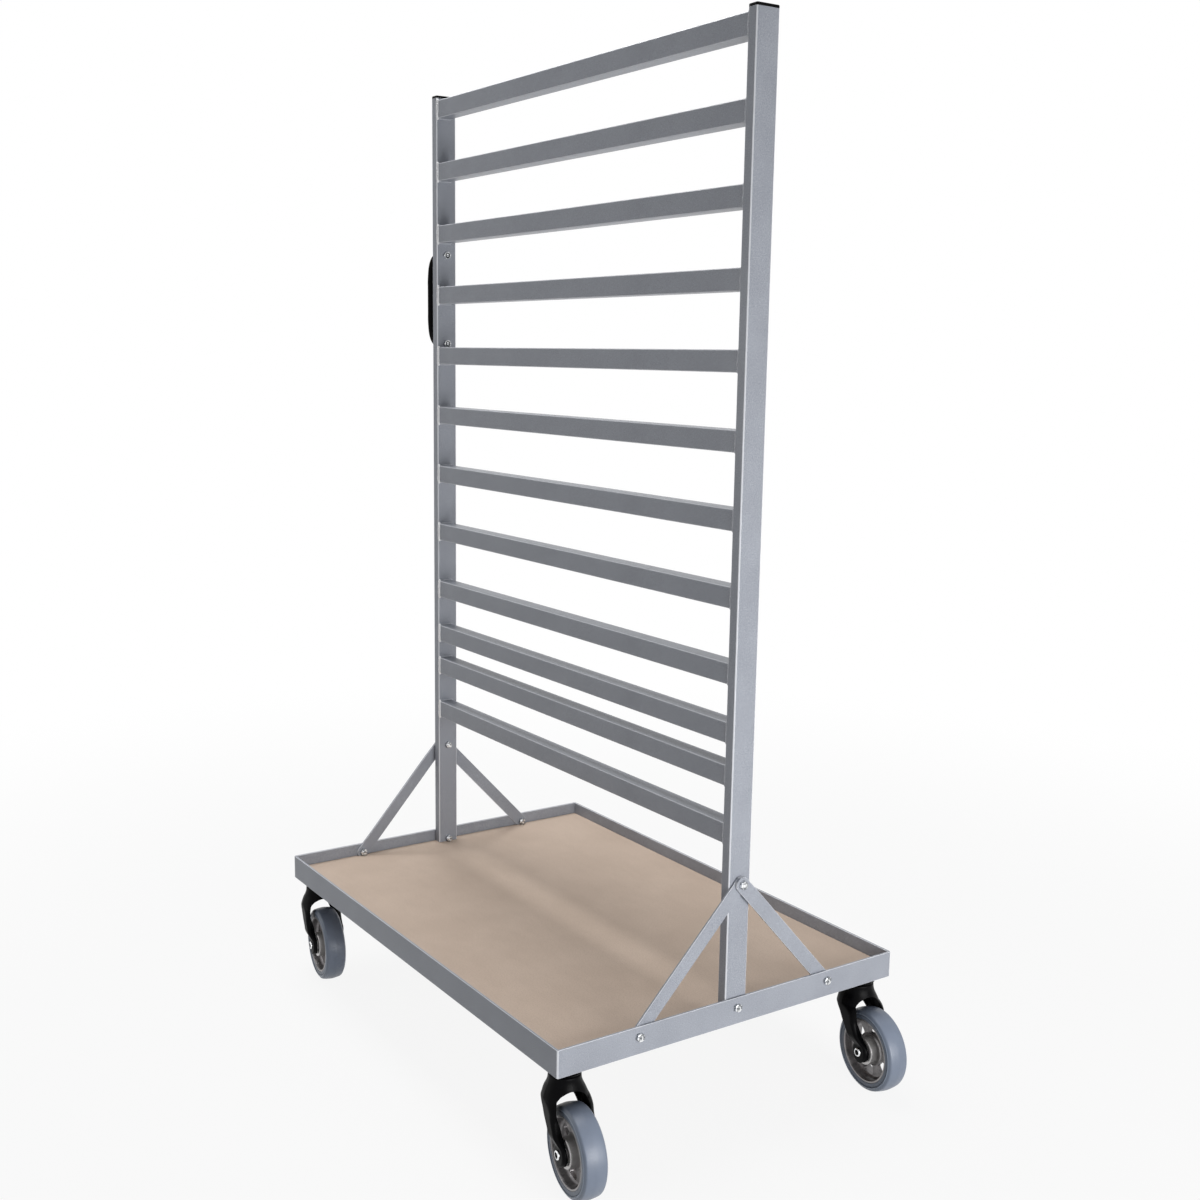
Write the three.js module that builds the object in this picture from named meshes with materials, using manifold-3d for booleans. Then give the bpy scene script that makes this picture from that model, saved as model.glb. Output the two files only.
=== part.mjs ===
// Warehouse platform trolley with a tall ladder frame across its middle, on four swivel castors.
// Millimetres, +Z up. The origin is the middle of the deck's top face, +X runs along the platform.
import * as THREE from 'three';
import { mergeVertices } from 'three/addons/utils/BufferGeometryUtils.js';
import Module from 'manifold-3d';

const wasm = await Module();
wasm.setup();

// Clearances and cutting overrun
const seam = 0.3;
const boltPlay = 0.3;
const overrun = 5;
const mergeTolerance = 0.0001;
const up = new THREE.Vector3(0, 0, 1);

// Platform rim of steel angle
const platformLength = 1000;
const platformWidth = 700;
const rimHeight = 46;
const rimWall = 4.5;
const ledgeWidth = 26;
const ledgeThickness = 4;
const rimCornerRadius = 4;

// Deck board that lies on the rim's ledge
const deckThickness = 18;
const deckSideGap = 0.6;
const deckCornerRadius = 3;
const nutPocketRadius = 13;
const nutPocketDepth = 12;

// Plates in the rim's corners that carry the castors
const cornerPlateSize = 112;
const cornerPlateThickness = 4;
const cornerPlateCut = 72;

// Uprights of rectangular tube, bolted inside the rim's ends, their top measured from the floor
const uprightWidth = 20;
const uprightDepth = 44;
const uprightWall = 2;
const uprightCornerRadius = 3;
const uprightTop = 1768.5;
const capFlange = 5;
const capEdgeRadius = 1.6;
const capPlugLength = 16;
const capPlugWall = 2.5;

// Rungs of rectangular tube, welded between the uprights
const rungHeight = 34.5;
const rungDepth = 30;
const rungWall = 1.8;
const rungCornerRadius = 2.2;
const rungFrontInset = 2;
const topRungDrop = 4.8;
const lowestRungRise = 317;
const pitchedRungCount = 9;
// Steps between the lower rungs, from the top one down, as shares of the pitch above them
const lowerStepShares = [0.7855, 0.5792, 0.7871];

// Flat-bar braces from the rim to the uprights
const braceWidth = 25;
const braceThickness = 4;
const braceFootSpread = 197;
const braceTopRise = 194;
const boltDrop = 16.9;

// Hex bolts with nuts
const boltRadius = 4;
const boltSides = 8;
const hexAcrossFlats = 13;
const hexHeadHeight = 5.3;
const hexNutHeight = 6.5;
const boltEndLength = 3;

// Bow handle on the left upright, its screws clear of the rungs below and above
const handleRung = 8;
const handleLowClearance = 7.1;
const handleHighClearance = 23.8;
const handleReach = 43;
const handleGripWidth = 26;
const handleGripThickness = 13;
const handleFootRadius = 13;
const handleFootHeight = 12;
const handleScrewDepth = 10;

// Castors: wheel, whose rings are shares of its radius
const wheelRadius = 72.5;
const wheelSides = 18;
const tyreWidth = 41;
const tyreInnerShare = 0.7724;
// Each tyre ring's radius and offset, from the bead's step over the ridge and shoulder to the tread
const tyreRingShares = [[0.862, 0.95], [0.873, 1], [0.9, 0.98], [0.966, 0.83], [0.99, 0.55], [1, 0.2]];
const tyreBeadShare = 0.95;
const rimBandThickness = 4;
const webThickness = 6;
const hubShare = 0.331;
const hubLength = 44;
const hubFilletShare = 0.38;
const windowCount = 6;
const windowInnerShare = 0.41;
const windowOuterShare = 0.641;
const windowHalfAngle = 0.27;

// Castors: axle, fork and swivel head
const axleRadius = 6;
const axleBore = 3.5;
const axleHeadRadius = 7.5;
const axleHeadHeight = 3.2;
const spacerRadius = 10;
const castorTrail = 46;
const forkSheet = 3.5;
const forkHalfWidth = 37.6;
const forkEndHalfWidth = 32;
const forkEndRadius = 19;
const forkBend = 6;
const crownClearance = 36;
const neckRadius = 26;
const bellHeight = 33;
const bellFlareShare = 0.485;
const bellDropShares = [0.74, 0.48, 0.24, 0.06];
// Each leg's height, leading edge, trailing edge and corner radius, from the bell down
const legShares = [[1, -0.8, 0.84, 1], [0.88, -0.43, 0.81, 0.58], [0.77, -0.16, 0.78, 0.34],
  [0.62, 0.01, 0.76, 0.22], [0.45, 0.23, 0.88, 0.17], [0.32, 0.4, 1.04, 0.16]];
const archHalfWidth = 24.3;
const archClearance = 18;
const archRise = 25;
// Arch edges from the leg up to the crest: shares of the half width at the leg and of the rise
const trailingArchShares = [[1, -1.2], [1.07, -0.88], [1.17, -0.56], [1.215, -0.24], [1.18, 0.08],
  [1.03, 0.4], [0.78, 0.68], [0.47, 0.88], [0.2, 0.98]];
const leadingArchShares = [[0.87, -1.2], [0.87, 0], [0.8, 0.38], [0.62, 0.71], [0.33, 0.92]];
const kingpinRadius = 6;
const kingpinNutRadius = 9.5;
const kingpinNutHeight = 8;
const headRadius = 28;
const headThickness = 13;
const headBevel = 3;
const kingpinInsetX = 37.5;
const kingpinInsetY = 38.5;

// Levels and places that follow from the sizes
const tyreInnerRadius = wheelRadius * tyreInnerShare;
const hubRadius = wheelRadius * hubShare;
const hubFilletRadius = wheelRadius * hubFilletShare;
const windowInnerRadius = wheelRadius * windowInnerShare;
const windowOuterRadius = wheelRadius * windowOuterShare;
const forkTop = 2 * wheelRadius + crownClearance;
const archTop = 2 * wheelRadius + archClearance;
const archSpring = archTop - archRise;
const rimBottom = forkTop + headThickness;
const rimTop = rimBottom + rimHeight;
const ledgeTop = rimBottom + ledgeThickness;
const deckBottom = ledgeTop + seam;
const deckTop = deckBottom + deckThickness;
const boltHeight = rimTop - boltDrop;
const braceTopHeight = rimTop + braceTopRise;
const uprightOuterX = platformLength / 2 - rimWall - seam;
const uprightInnerX = uprightOuterX - uprightWidth;
const uprightFoot = deckTop + seam;
const topRungHeight = uprightTop - topRungDrop;
const pitchesBelowTop = lowerStepShares.reduce((sum, share) => sum + share, pitchedRungCount - 1);
const rungPitch = (topRungHeight - deckTop - lowestRungRise) / pitchesBelowTop;
const rungCount = pitchedRungCount + lowerStepShares.length;
const handleRungHeight = topRungHeight - (rungCount - handleRung) * rungPitch;
const handleLowScrewHeight = handleRungHeight + handleLowClearance;
const handleSpacing = 2 * rungPitch - rungHeight - handleLowClearance - handleHighClearance;
const boltHole = (boltRadius + boltPlay) / Math.cos(Math.PI / boltSides);

const painted = { color: 0x8a8f95, roughness: 0.5, metalness: 0.35 };
const zinc = { color: 0xd4d6d8, roughness: 0.3, metalness: 0.9 };
const fibreboard = { color: 0xbdae9d, roughness: 0.75, metalness: 0 };
const blackPlastic = { color: 0x101112, roughness: 0.5, metalness: 0 };
const blackSteel = { color: 0x17171a, roughness: 0.4, metalness: 0.4 };
const greyRubber = { color: 0x76879b, roughness: 0.6, metalness: 0 };
const castAluminium = { color: 0x8c8780, roughness: 0.4, metalness: 0.9 };

const trolley = new THREE.Group();
trolley.position.z = -deckTop;

function addPart(parent, name, geometry, finish) {
  const mesh = new THREE.Mesh(geometry, new THREE.MeshStandardMaterial(finish));
  mesh.name = name;
  parent.add(mesh);
  return mesh;
}

function solidOf(geometry) {
  const bare = geometry.clone();
  bare.deleteAttribute('normal');
  bare.deleteAttribute('uv');
  const merged = mergeVertices(bare, mergeTolerance);
  return new wasm.Manifold(new wasm.Mesh({
    numProp: 3,
    vertProperties: new Float32Array(merged.attributes.position.array),
    triVerts: new Uint32Array(merged.index.array),
  }));
}

function geometryOf(solid) {
  const mesh = solid.getMesh();
  const geometry = new THREE.BufferGeometry();
  geometry.setAttribute('position', new THREE.BufferAttribute(mesh.vertProperties, 3));
  geometry.setIndex(new THREE.BufferAttribute(mesh.triVerts, 1));
  geometry.computeVertexNormals();
  return geometry;
}

// Prisms: an outline in the XY plane drawn up along Z, or turned to run along X or Y
function prism(shape, from, to, curveSegments = 3) {
  const geometry = new THREE.ExtrudeGeometry(shape, { depth: to - from, bevelEnabled: false, curveSegments });
  return geometry.translate(0, 0, from);
}

// The outline's first coordinate becomes Y and its second Z
function prismAlongX(shape, from, to, curveSegments) {
  const turn = new THREE.Matrix4().makeBasis(
    new THREE.Vector3(0, 1, 0), new THREE.Vector3(0, 0, 1), new THREE.Vector3(1, 0, 0));
  return prism(shape, from, to, curveSegments).applyMatrix4(turn);
}

// The outline's first coordinate becomes X and its second Z
function prismAlongY(shape, from, to, curveSegments) {
  const turn = new THREE.Matrix4().makeBasis(
    new THREE.Vector3(1, 0, 0), new THREE.Vector3(0, 0, 1), new THREE.Vector3(0, -1, 0));
  return prism(shape, -to, -from, curveSegments).applyMatrix4(turn);
}

function cylinderAlongX(radius, from, to, y, z, sides = boltSides) {
  const geometry = new THREE.CylinderGeometry(radius, radius, to - from, sides);
  return geometry.rotateZ(Math.PI / 2).rotateX(Math.PI / sides).translate((from + to) / 2, y, z);
}

// A profile of [radius, height] pairs turned about the Z axis
function turned(profile, sides) {
  const points = profile.map(([radius, height]) => new THREE.Vector2(radius, height));
  return new THREE.LatheGeometry(points, sides).rotateX(Math.PI / 2);
}

// Outline through [x, y] points, always anticlockwise so that a clockwise hole lies in it
function polygon(points) {
  const corners = points.map(([x, y]) => new THREE.Vector2(x, y));
  return new THREE.Shape(THREE.ShapeUtils.isClockWise(corners) ? corners.reverse() : corners);
}

function roundedRectangle(width, height, radius) {
  const shape = new THREE.Shape();
  const x = width / 2 - radius;
  const y = height / 2 - radius;
  shape.absarc(x, y, radius, 0, Math.PI / 2);
  shape.absarc(-x, y, radius, Math.PI / 2, Math.PI);
  shape.absarc(-x, -y, radius, Math.PI, Math.PI * 1.5);
  shape.absarc(x, -y, radius, Math.PI * 1.5, Math.PI * 2);
  return shape;
}

function tubeSection(width, height, wall, radius) {
  const section = roundedRectangle(width, height, radius);
  section.holes.push(roundedRectangle(width - 2 * wall, height - 2 * wall, radius - wall / 2));
  return section;
}

// Rim: four lengths of angle steel, mitred at the corners and drilled at the ends for the bolts
function railSolid(length, boltPlaces) {
  const section = polygon([[0, 0], [ledgeWidth, 0], [ledgeWidth, ledgeThickness],
    [rimWall, ledgeThickness], [rimWall, rimHeight], [0, rimHeight]]);
  const half = length / 2;
  const back = seam / Math.SQRT2;
  const mitre = polygon([[-half + back, 0], [half - back, 0],
    [half - back - ledgeWidth, ledgeWidth], [-half + back + ledgeWidth, ledgeWidth]]);
  let rail = solidOf(prismAlongX(section, -half, half)).intersect(solidOf(prism(mitre, 0, rimHeight)));
  for (const place of boltPlaces) {
    const hole = new THREE.CylinderGeometry(boltHole, boltHole, rimWall + 2 * overrun, 12);
    hole.rotateY(Math.PI / 12).translate(place, rimWall / 2, boltHeight - rimBottom);
    rail = rail.subtract(solidOf(hole));
  }
  return rail;
}

function addRails() {
  const plan = solidOf(prism(roundedRectangle(platformLength, platformWidth, rimCornerRadius), rimBottom, rimTop, 3));
  const rails = [
    ['front_rail', platformLength, platformWidth / 2, 0, []],
    ['right_rail', platformWidth, platformLength / 2, Math.PI / 2, [-braceFootSpread, 0, braceFootSpread]],
    ['rear_rail', platformLength, platformWidth / 2, Math.PI, []],
    ['left_rail', platformWidth, platformLength / 2, -Math.PI / 2, [-braceFootSpread, 0, braceFootSpread]],
  ];
  for (const [name, length, offset, turn, boltPlaces] of rails) {
    const geometry = geometryOf(railSolid(length, boltPlaces)).translate(0, -offset, rimBottom).rotateZ(turn);
    addPart(trolley, name, geometryOf(solidOf(geometry).intersect(plan)), painted);
  }
}

// Corner plates: welded between the ledges, with a hole for the castor's kingpin
function addCornerPlate(name, sideX, sideY) {
  const start = ledgeWidth + seam;
  const place = (fromEndX, fromSideY) => [sideX * (platformLength / 2 - fromEndX), sideY * (platformWidth / 2 - fromSideY)];
  const shape = polygon([place(start, start), place(cornerPlateSize, start), place(cornerPlateSize, cornerPlateCut),
    place(cornerPlateCut, cornerPlateSize), place(start, cornerPlateSize)]);
  const hole = new THREE.Path();
  hole.absarc(...place(kingpinInsetX, kingpinInsetY), kingpinRadius + boltPlay, 0, Math.PI * 2, true);
  shape.holes.push(hole);
  addPart(trolley, name, prism(shape, rimBottom, rimBottom + cornerPlateThickness, 6), painted);
}

// Deck board: notched round the brace feet, with blind pockets below for the kingpin nuts
function addDeck() {
  const length = platformLength - 2 * (rimWall + deckSideGap);
  const width = platformWidth - 2 * (rimWall + deckSideGap);
  let deck = solidOf(prism(roundedRectangle(length, width, deckCornerRadius), deckBottom, deckTop, 3));
  const notchDepth = braceThickness + 2 * seam;
  const notchHalf = braceWidth / 2 + seam * 2;
  for (const side of [-1, 1]) {
    for (const foot of [-braceFootSpread, braceFootSpread]) {
      const edge = platformLength / 2 - rimWall;
      const notch = polygon([[edge - notchDepth, foot - notchHalf], [edge + overrun, foot - notchHalf],
        [edge + overrun, foot + notchHalf], [edge - notchDepth, foot + notchHalf]].map(([x, y]) => [side * x, y]));
      deck = deck.subtract(solidOf(prism(notch, deckBottom - overrun, deckTop + overrun)));
    }
    for (const other of [-1, 1]) {
      const pocket = new THREE.CylinderGeometry(nutPocketRadius, nutPocketRadius, nutPocketDepth + overrun, 12);
      pocket.rotateX(Math.PI / 2).translate(side * (platformLength / 2 - kingpinInsetX),
        other * (platformWidth / 2 - kingpinInsetY), deckBottom + (nutPocketDepth - overrun) / 2);
      deck = deck.subtract(solidOf(pocket));
    }
  }
  addPart(trolley, 'deck_board', geometryOf(deck), fibreboard);
}

// Uprights: open tubes that stand on the deck against the rim, each closed by a plastic cap
function addUpright(name, side, handleScrewHeights) {
  const section = tubeSection(uprightWidth, uprightDepth, uprightWall, uprightCornerRadius);
  let tube = solidOf(prism(section, uprightFoot, uprightTop, 1));
  for (const height of [boltHeight, braceTopHeight, ...handleScrewHeights]) {
    tube = tube.subtract(solidOf(cylinderAlongX(boltHole, -uprightWidth, uprightWidth, 0, height)));
  }
  const mesh = addPart(trolley, name, geometryOf(tube), painted);
  mesh.position.x = side * (uprightOuterX - uprightWidth / 2);
}

function rectangleRing(width, height, radius, level, steps) {
  const points = [];
  const corners = [[1, 1], [-1, 1], [-1, -1], [1, -1]];
  corners.forEach(([sideX, sideY], corner) => {
    for (let i = 0; i <= steps; i += 1) {
      const angle = (corner + i / steps) * Math.PI / 2;
      points.push([sideX * (width / 2 - radius) + radius * Math.cos(angle),
        sideY * (height / 2 - radius) + radius * Math.sin(angle), level]);
    }
  });
  return points;
}

// Skin over rings with the same number of points, closed by a flat fan at each end
function loft(rings) {
  const count = rings[0].length;
  const centre = (ring) => [0, 1, 2].map((k) => ring.reduce((sum, point) => sum + point[k], 0) / count);
  const positions = rings.flat(2).concat(centre(rings[0]), centre(rings[rings.length - 1]));
  const index = [];
  const low = rings.length * count;
  const high = low + 1;
  for (let i = 0; i < count; i += 1) {
    const next = (i + 1) % count;
    for (let ring = 0; ring + 1 < rings.length; ring += 1) {
      const [a, b] = [ring * count + i, ring * count + next];
      index.push(a, b, b + count, a, b + count, a + count);
    }
    const last = (rings.length - 1) * count;
    index.push(low, next, i, high, last + i, last + next);
  }
  const geometry = new THREE.BufferGeometry();
  geometry.setAttribute('position', new THREE.Float32BufferAttribute(positions, 3));
  geometry.setIndex(index);
  geometry.computeVertexNormals();
  return geometry;
}

function addCap(name, side) {
  const plugWidth = uprightWidth - 2 * (uprightWall + seam);
  const plugDepth = uprightDepth - 2 * (uprightWall + seam);
  const plugRadius = uprightCornerRadius - uprightWall / 2;
  const flangeBottom = uprightTop + seam;
  const flangeTop = uprightTop + capFlange;
  const taper = capPlugWall / 2;
  const rings = [
    rectangleRing(plugWidth - taper, plugDepth - taper, plugRadius, uprightTop - capPlugLength, 2),
    rectangleRing(plugWidth, plugDepth, plugRadius, uprightTop - capPlugLength + taper, 2),
    rectangleRing(plugWidth, plugDepth, plugRadius, flangeBottom, 2),
    rectangleRing(uprightWidth, uprightDepth, uprightCornerRadius, flangeBottom, 2),
    rectangleRing(uprightWidth, uprightDepth, uprightCornerRadius, flangeTop - capEdgeRadius, 2),
    rectangleRing(uprightWidth - capEdgeRadius, uprightDepth - capEdgeRadius, uprightCornerRadius,
      flangeTop - capEdgeRadius / 3, 2),
    rectangleRing(uprightWidth - 2 * capEdgeRadius, uprightDepth - 2 * capEdgeRadius,
      uprightCornerRadius, flangeTop, 2),
  ];
  const mesh = addPart(trolley, name, loft(rings), blackPlastic);
  mesh.position.x = side * (uprightOuterX - uprightWidth / 2);
}

// Rungs: the upper ones at one pitch, the lower three closer together
function rungTopHeights() {
  const heights = [topRungHeight];
  for (let i = 1; i < pitchedRungCount; i += 1) heights.push(heights[0] - i * rungPitch);
  for (const share of lowerStepShares) heights.push(heights[heights.length - 1] - share * rungPitch);
  return heights.reverse();
}

function addRungs() {
  const section = tubeSection(rungDepth, rungHeight, rungWall, rungCornerRadius);
  const end = uprightInnerX - seam;
  const frontFace = -uprightDepth / 2 + rungFrontInset;
  rungTopHeights().forEach((height, i) => {
    const name = `rung_${String(i + 1).padStart(2, '0')}`;
    const mesh = addPart(trolley, name, prismAlongX(section, -end, end, 1), painted);
    mesh.position.set(0, frontFace + rungDepth / 2, height - rungHeight / 2);
  });
}

// Braces: flat bars set outwards between their foot inside the rim and their top on the upright's
// outer face, where the second bar lies on the first. The bar is drawn along its own length.
function braceSolid(topOffset) {
  const rise = braceTopHeight - boltHeight;
  const length = Math.hypot(rise, braceFootSpread);
  const half = braceWidth / 2;
  const slant = half * braceFootSpread / rise;
  const footFlat = boltDrop * length / rise + slant;
  const topFlat = uprightDepth / 2 * length / braceFootSpread + half * rise / braceFootSpread;
  const side = [[-half, 0], [footFlat, 0], [length - topFlat, topOffset], [length + half, topOffset]];
  const outer = side.map(([along, out]) => [along, out + braceThickness]).reverse();
  const bend = solidOf(prismAlongY(polygon([...side, ...outer]), -half, half));
  const plan = new THREE.Shape();
  plan.absarc(0, 0, half, Math.PI / 2, Math.PI * 1.5);
  plan.absarc(length, 0, half, -Math.PI / 2, Math.PI / 2);
  for (const place of [0, length]) {
    const hole = new THREE.Path();
    hole.absarc(place, 0, boltHole, 0, Math.PI * 2, true);
    plan.holes.push(hole);
  }
  return bend.intersect(solidOf(prism(plan, -overrun, topOffset + braceThickness + overrun, 4)));
}

// end is +1 at the right and -1 at the left, reach is the way from the upright to the foot along Y
function addBrace(name, end, reach, layer) {
  const footOffset = platformLength / 2 - rimWall - seam - braceThickness;
  const topOffset = uprightOuterX + seam + layer * (braceThickness + seam) - footOffset;
  const alongBar = new THREE.Vector3(0, -reach * braceFootSpread, braceTopHeight - boltHeight).normalize();
  const outwards = new THREE.Vector3(end, 0, 0);
  const across = new THREE.Vector3().crossVectors(outwards, alongBar);
  const matrix = new THREE.Matrix4().makeBasis(alongBar, across, outwards);
  matrix.setPosition(end * footOffset, reach * braceFootSpread, boltHeight);
  const geometry = geometryOf(braceSolid(topOffset)).applyMatrix4(matrix);
  addPart(trolley, name, geometry, painted);
}

// Hex bolt along X with its head outside at headX and its nut inside at nutX, drawn for the right end
function boltGeometry(headX, nutX) {
  const hexRadius = hexAcrossFlats / Math.sqrt(3);
  const hexagon = new THREE.Shape();
  for (let i = 0; i < 6; i += 1) {
    const angle = i * Math.PI / 3;
    hexagon[i ? 'lineTo' : 'moveTo'](hexRadius * Math.cos(angle), hexRadius * Math.sin(angle));
  }
  const head = solidOf(prismAlongX(hexagon, headX + seam, headX + seam + hexHeadHeight));
  const nut = solidOf(prismAlongX(hexagon, nutX - seam - hexNutHeight, nutX - seam));
  const shank = cylinderAlongX(boltRadius, nutX - seam - hexNutHeight - boltEndLength, headX + hexHeadHeight / 2, 0, 0);
  return geometryOf(solidOf(shank).add(head).add(nut));
}

function addBolt(name, end, headX, nutX, y, height) {
  const mesh = addPart(trolley, name, boltGeometry(headX, nutX), zinc);
  mesh.position.set(0, y, height);
  mesh.rotation.z = end > 0 ? 0 : Math.PI;
}

function addBraceAndBolts(sideName, end) {
  const rimOuterX = platformLength / 2;
  const braceInnerX = rimOuterX - rimWall - seam - braceThickness;
  const stackX = uprightOuterX + 2 * (seam + braceThickness);
  for (const [reachName, reach] of [['front', -1], ['rear', 1]]) {
    const layer = reach === end ? 1 : 0;
    addBrace(`${sideName}_${reachName}_brace`, end, reach, layer);
    addBolt(`${sideName}_${reachName}_brace_bolt`, end, rimOuterX, braceInnerX, reach * braceFootSpread, boltHeight);
  }
  addBolt(`${sideName}_upright_bolt`, end, rimOuterX, uprightInnerX, 0, boltHeight);
  addBolt(`${sideName}_brace_top_bolt`, end, stackX, uprightInnerX, 0, braceTopHeight);
}

// Bow handle: oval rings along an arch, swelling to a round foot with a screw socket at each end
function handleGeometry() {
  const half = handleSpacing / 2;
  const crest = handleReach - handleGripThickness / 2;
  const bend = handleFootRadius + handleGripThickness / 2;
  const rise = [[seam, half], [handleFootHeight * 0.7, half], [crest * 0.65, half - bend * 0.25],
    [crest * 0.92, half - bend * 0.9], [crest, half - 2 * bend], [crest, 0]];
  const run = rise.slice(0, -1).map(([out, along]) => [out, -along]).concat(rise.reverse());
  const arch = new THREE.CatmullRomCurve3(run.map(([out, along]) => new THREE.Vector3(out, 0, along)));
  const socket = (level, along) => circlePoints(boltHole, 12).map(([c, d]) => [level, d, along + c]);
  const socketDepth = handleScrewDepth + seam;
  const rings = [socket(socketDepth, -half), socket(seam, -half)];
  const ringCount = 20;
  for (let i = 0; i <= ringCount; i += 1) {
    const along = (1 - Math.cos(Math.PI * i / ringCount)) / 2;
    const { x, z } = arch.getPointAt(along);
    const tangent = i % ringCount === 0 ? new THREE.Vector3(i === 0 ? 1 : -1, 0, 0) : arch.getTangentAt(along);
    const foot = Math.max(0, 1 - (x - seam) / handleFootHeight);
    const thick = handleGripThickness / 2 + (handleFootRadius - handleGripThickness / 2) * Math.sqrt(foot);
    rings.push(circlePoints(1, 12).map(([c, d]) => [
      x - c * thick * tangent.z, d * handleGripWidth / 2, z + c * thick * tangent.x]));
  }
  const mirrored = (ring) => ring.map(([x, y, z]) => [x, y, 2 * half - z]);
  rings.push(mirrored(socket(seam, half)), mirrored(socket(socketDepth, half)));
  return loft(rings.reverse());
}

function addHandle() {
  const middle = handleLowScrewHeight + handleSpacing / 2;
  const handle = addPart(trolley, 'bow_handle', handleGeometry(), blackPlastic);
  handle.position.set(-uprightOuterX, 0, middle);
  handle.rotation.z = Math.PI;
  for (const [place, offset] of [['lower', -handleSpacing / 2], ['upper', handleSpacing / 2]]) {
    const hexRadius = hexAcrossFlats / Math.sqrt(3);
    const head = cylinderAlongX(hexRadius, -hexHeadHeight, 0, 0, 0, 6);
    const shank = cylinderAlongX(boltRadius, -hexHeadHeight / 2, seam + uprightWidth + handleScrewDepth, 0, 0);
    const screw = addPart(trolley, `handle_screw_${place}`, geometryOf(solidOf(head).add(solidOf(shank))), zinc);
    screw.position.set(-uprightInnerX + seam, 0, middle + offset);
    screw.rotation.z = Math.PI;
  }
}

// Castor wheel, drawn about the Z axis and turned to lie across the fork
function tyreGeometry() {
  const side = [[tyreInnerShare, tyreBeadShare], ...tyreRingShares]
    .map(([radius, offset]) => [radius * wheelRadius, offset * tyreWidth / 2]);
  const other = side.map(([radius, offset]) => [radius, -offset]).reverse();
  return turned([...other, ...side, other[0]].reverse(), wheelSides);
}

function wheelCoreSolid(windowTurn) {
  const bandOuter = tyreInnerRadius - seam;
  const bandInner = bandOuter - rimBandThickness;
  const band = tyreBeadShare * tyreWidth / 2;
  const web = webThickness / 2;
  const hub = hubLength / 2;
  const bore = axleRadius + boltPlay;
  const hubBevel = hubRadius / 12;
  const side = [[bandOuter, band], [bandInner, band], [bandInner - rimBandThickness / 2, web], [hubFilletRadius, web],
    [hubRadius + hubBevel, 2 * web], [hubRadius, hub - hubBevel], [hubRadius - hubBevel, hub], [bore, hub]];
  const other = side.map(([radius, offset]) => [radius, -offset]).reverse();
  let core = solidOf(turned([...side, ...other, side[0]], wheelSides));
  const window = new THREE.Shape();
  window.absarc(0, 0, windowOuterRadius, -windowHalfAngle, windowHalfAngle, false);
  window.absarc(0, 0, windowInnerRadius, windowHalfAngle, -windowHalfAngle, true);
  for (let i = 0; i < windowCount; i += 1) {
    const cut = prism(window, -webThickness, webThickness, 1);
    core = core.subtract(solidOf(cut.rotateZ(windowTurn + i * 2 * Math.PI / windowCount)));
  }
  return core;
}

// Tubular axle with flared ends, and the spacers that centre the hub between the legs
function axleGeometry() {
  const legOuter = forkEndHalfWidth + seam;
  const legInner = forkEndHalfWidth - forkSheet - seam;
  const hubFace = hubLength / 2 + seam;
  const bevel = axleHeadHeight / 3;
  const side = [[axleRadius, 0], [axleRadius, hubFace], [spacerRadius, hubFace], [spacerRadius, legInner],
    [axleRadius, legInner], [axleRadius, legOuter], [axleHeadRadius, legOuter],
    [axleHeadRadius - bevel, legOuter + axleHeadHeight], [axleBore + bevel, legOuter + axleHeadHeight],
    [axleBore, legOuter]];
  const other = side.slice(1).map(([radius, offset]) => [radius, -offset]).reverse();
  return turned([...side, ...other, side[0]], 10);
}

// Pressed fork: a round bell under the kingpin that runs out into two legs, each a shallow channel
// open towards the wheel, set inwards round the axle. A skin is lofted through level rings, and the
// inner skin is the outer one moved in by the sheet thickness.
function forkRing(leading, trailing, halfDepth, radius, level, inset) {
  const width = trailing - leading - 2 * inset;
  const depth = 2 * (halfDepth - inset);
  const corner = Math.min(Math.max(radius - inset, seam), width / 2 - seam, depth / 2 - seam);
  const middle = (leading + trailing) / 2;
  return rectangleRing(width, depth, corner, level, 2).map(([x, y, z]) => [x + middle, y, z]);
}

function forkSkin(inset) {
  const legHeight = forkTop - bellHeight - wheelRadius;
  const endRadius = forkEndRadius - inset;
  const rings = [];
  for (let i = 0; i <= 4; i += 1) {
    const angle = (i / 4) * Math.PI * 0.64 - Math.PI * 0.44;
    const half = endRadius * Math.cos(angle) + inset;
    const level = wheelRadius + endRadius * Math.sin(angle);
    rings.push(forkRing(castorTrail - half, castorTrail + half, forkEndHalfWidth, forkBend, level, inset));
  }
  for (const [height, leading, trailing, corner] of [...legShares].reverse()) {
    rings.push(forkRing(leading * castorTrail, trailing * castorTrail, forkHalfWidth, corner * forkHalfWidth,
      wheelRadius + height * legHeight, inset));
  }
  for (const drop of bellDropShares.filter((share) => share * bellHeight > inset)) {
    const reach = neckRadius * (1 + bellFlareShare * drop ** 1.5);
    rings.push(forkRing(-reach, reach, reach, reach, forkTop - drop * bellHeight, inset));
  }
  const crown = neckRadius - forkSheet / 2;
  rings.push(forkRing(-crown, crown, crown, crown, forkTop - inset, inset));
  return solidOf(loft(rings));
}

// Outline of an arch over the wheel, its legs open to the floor
function archOutline(shares) {
  const edge = shares.map(([across, height]) => [across * archHalfWidth, archSpring + height * archRise]);
  const otherEdge = edge.map(([y, z]) => [-y, z]).reverse();
  const foot = edge[0][0];
  return polygon([[-foot, 0], [foot, 0], ...edge, [0, archTop], ...otherEdge]);
}

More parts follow.
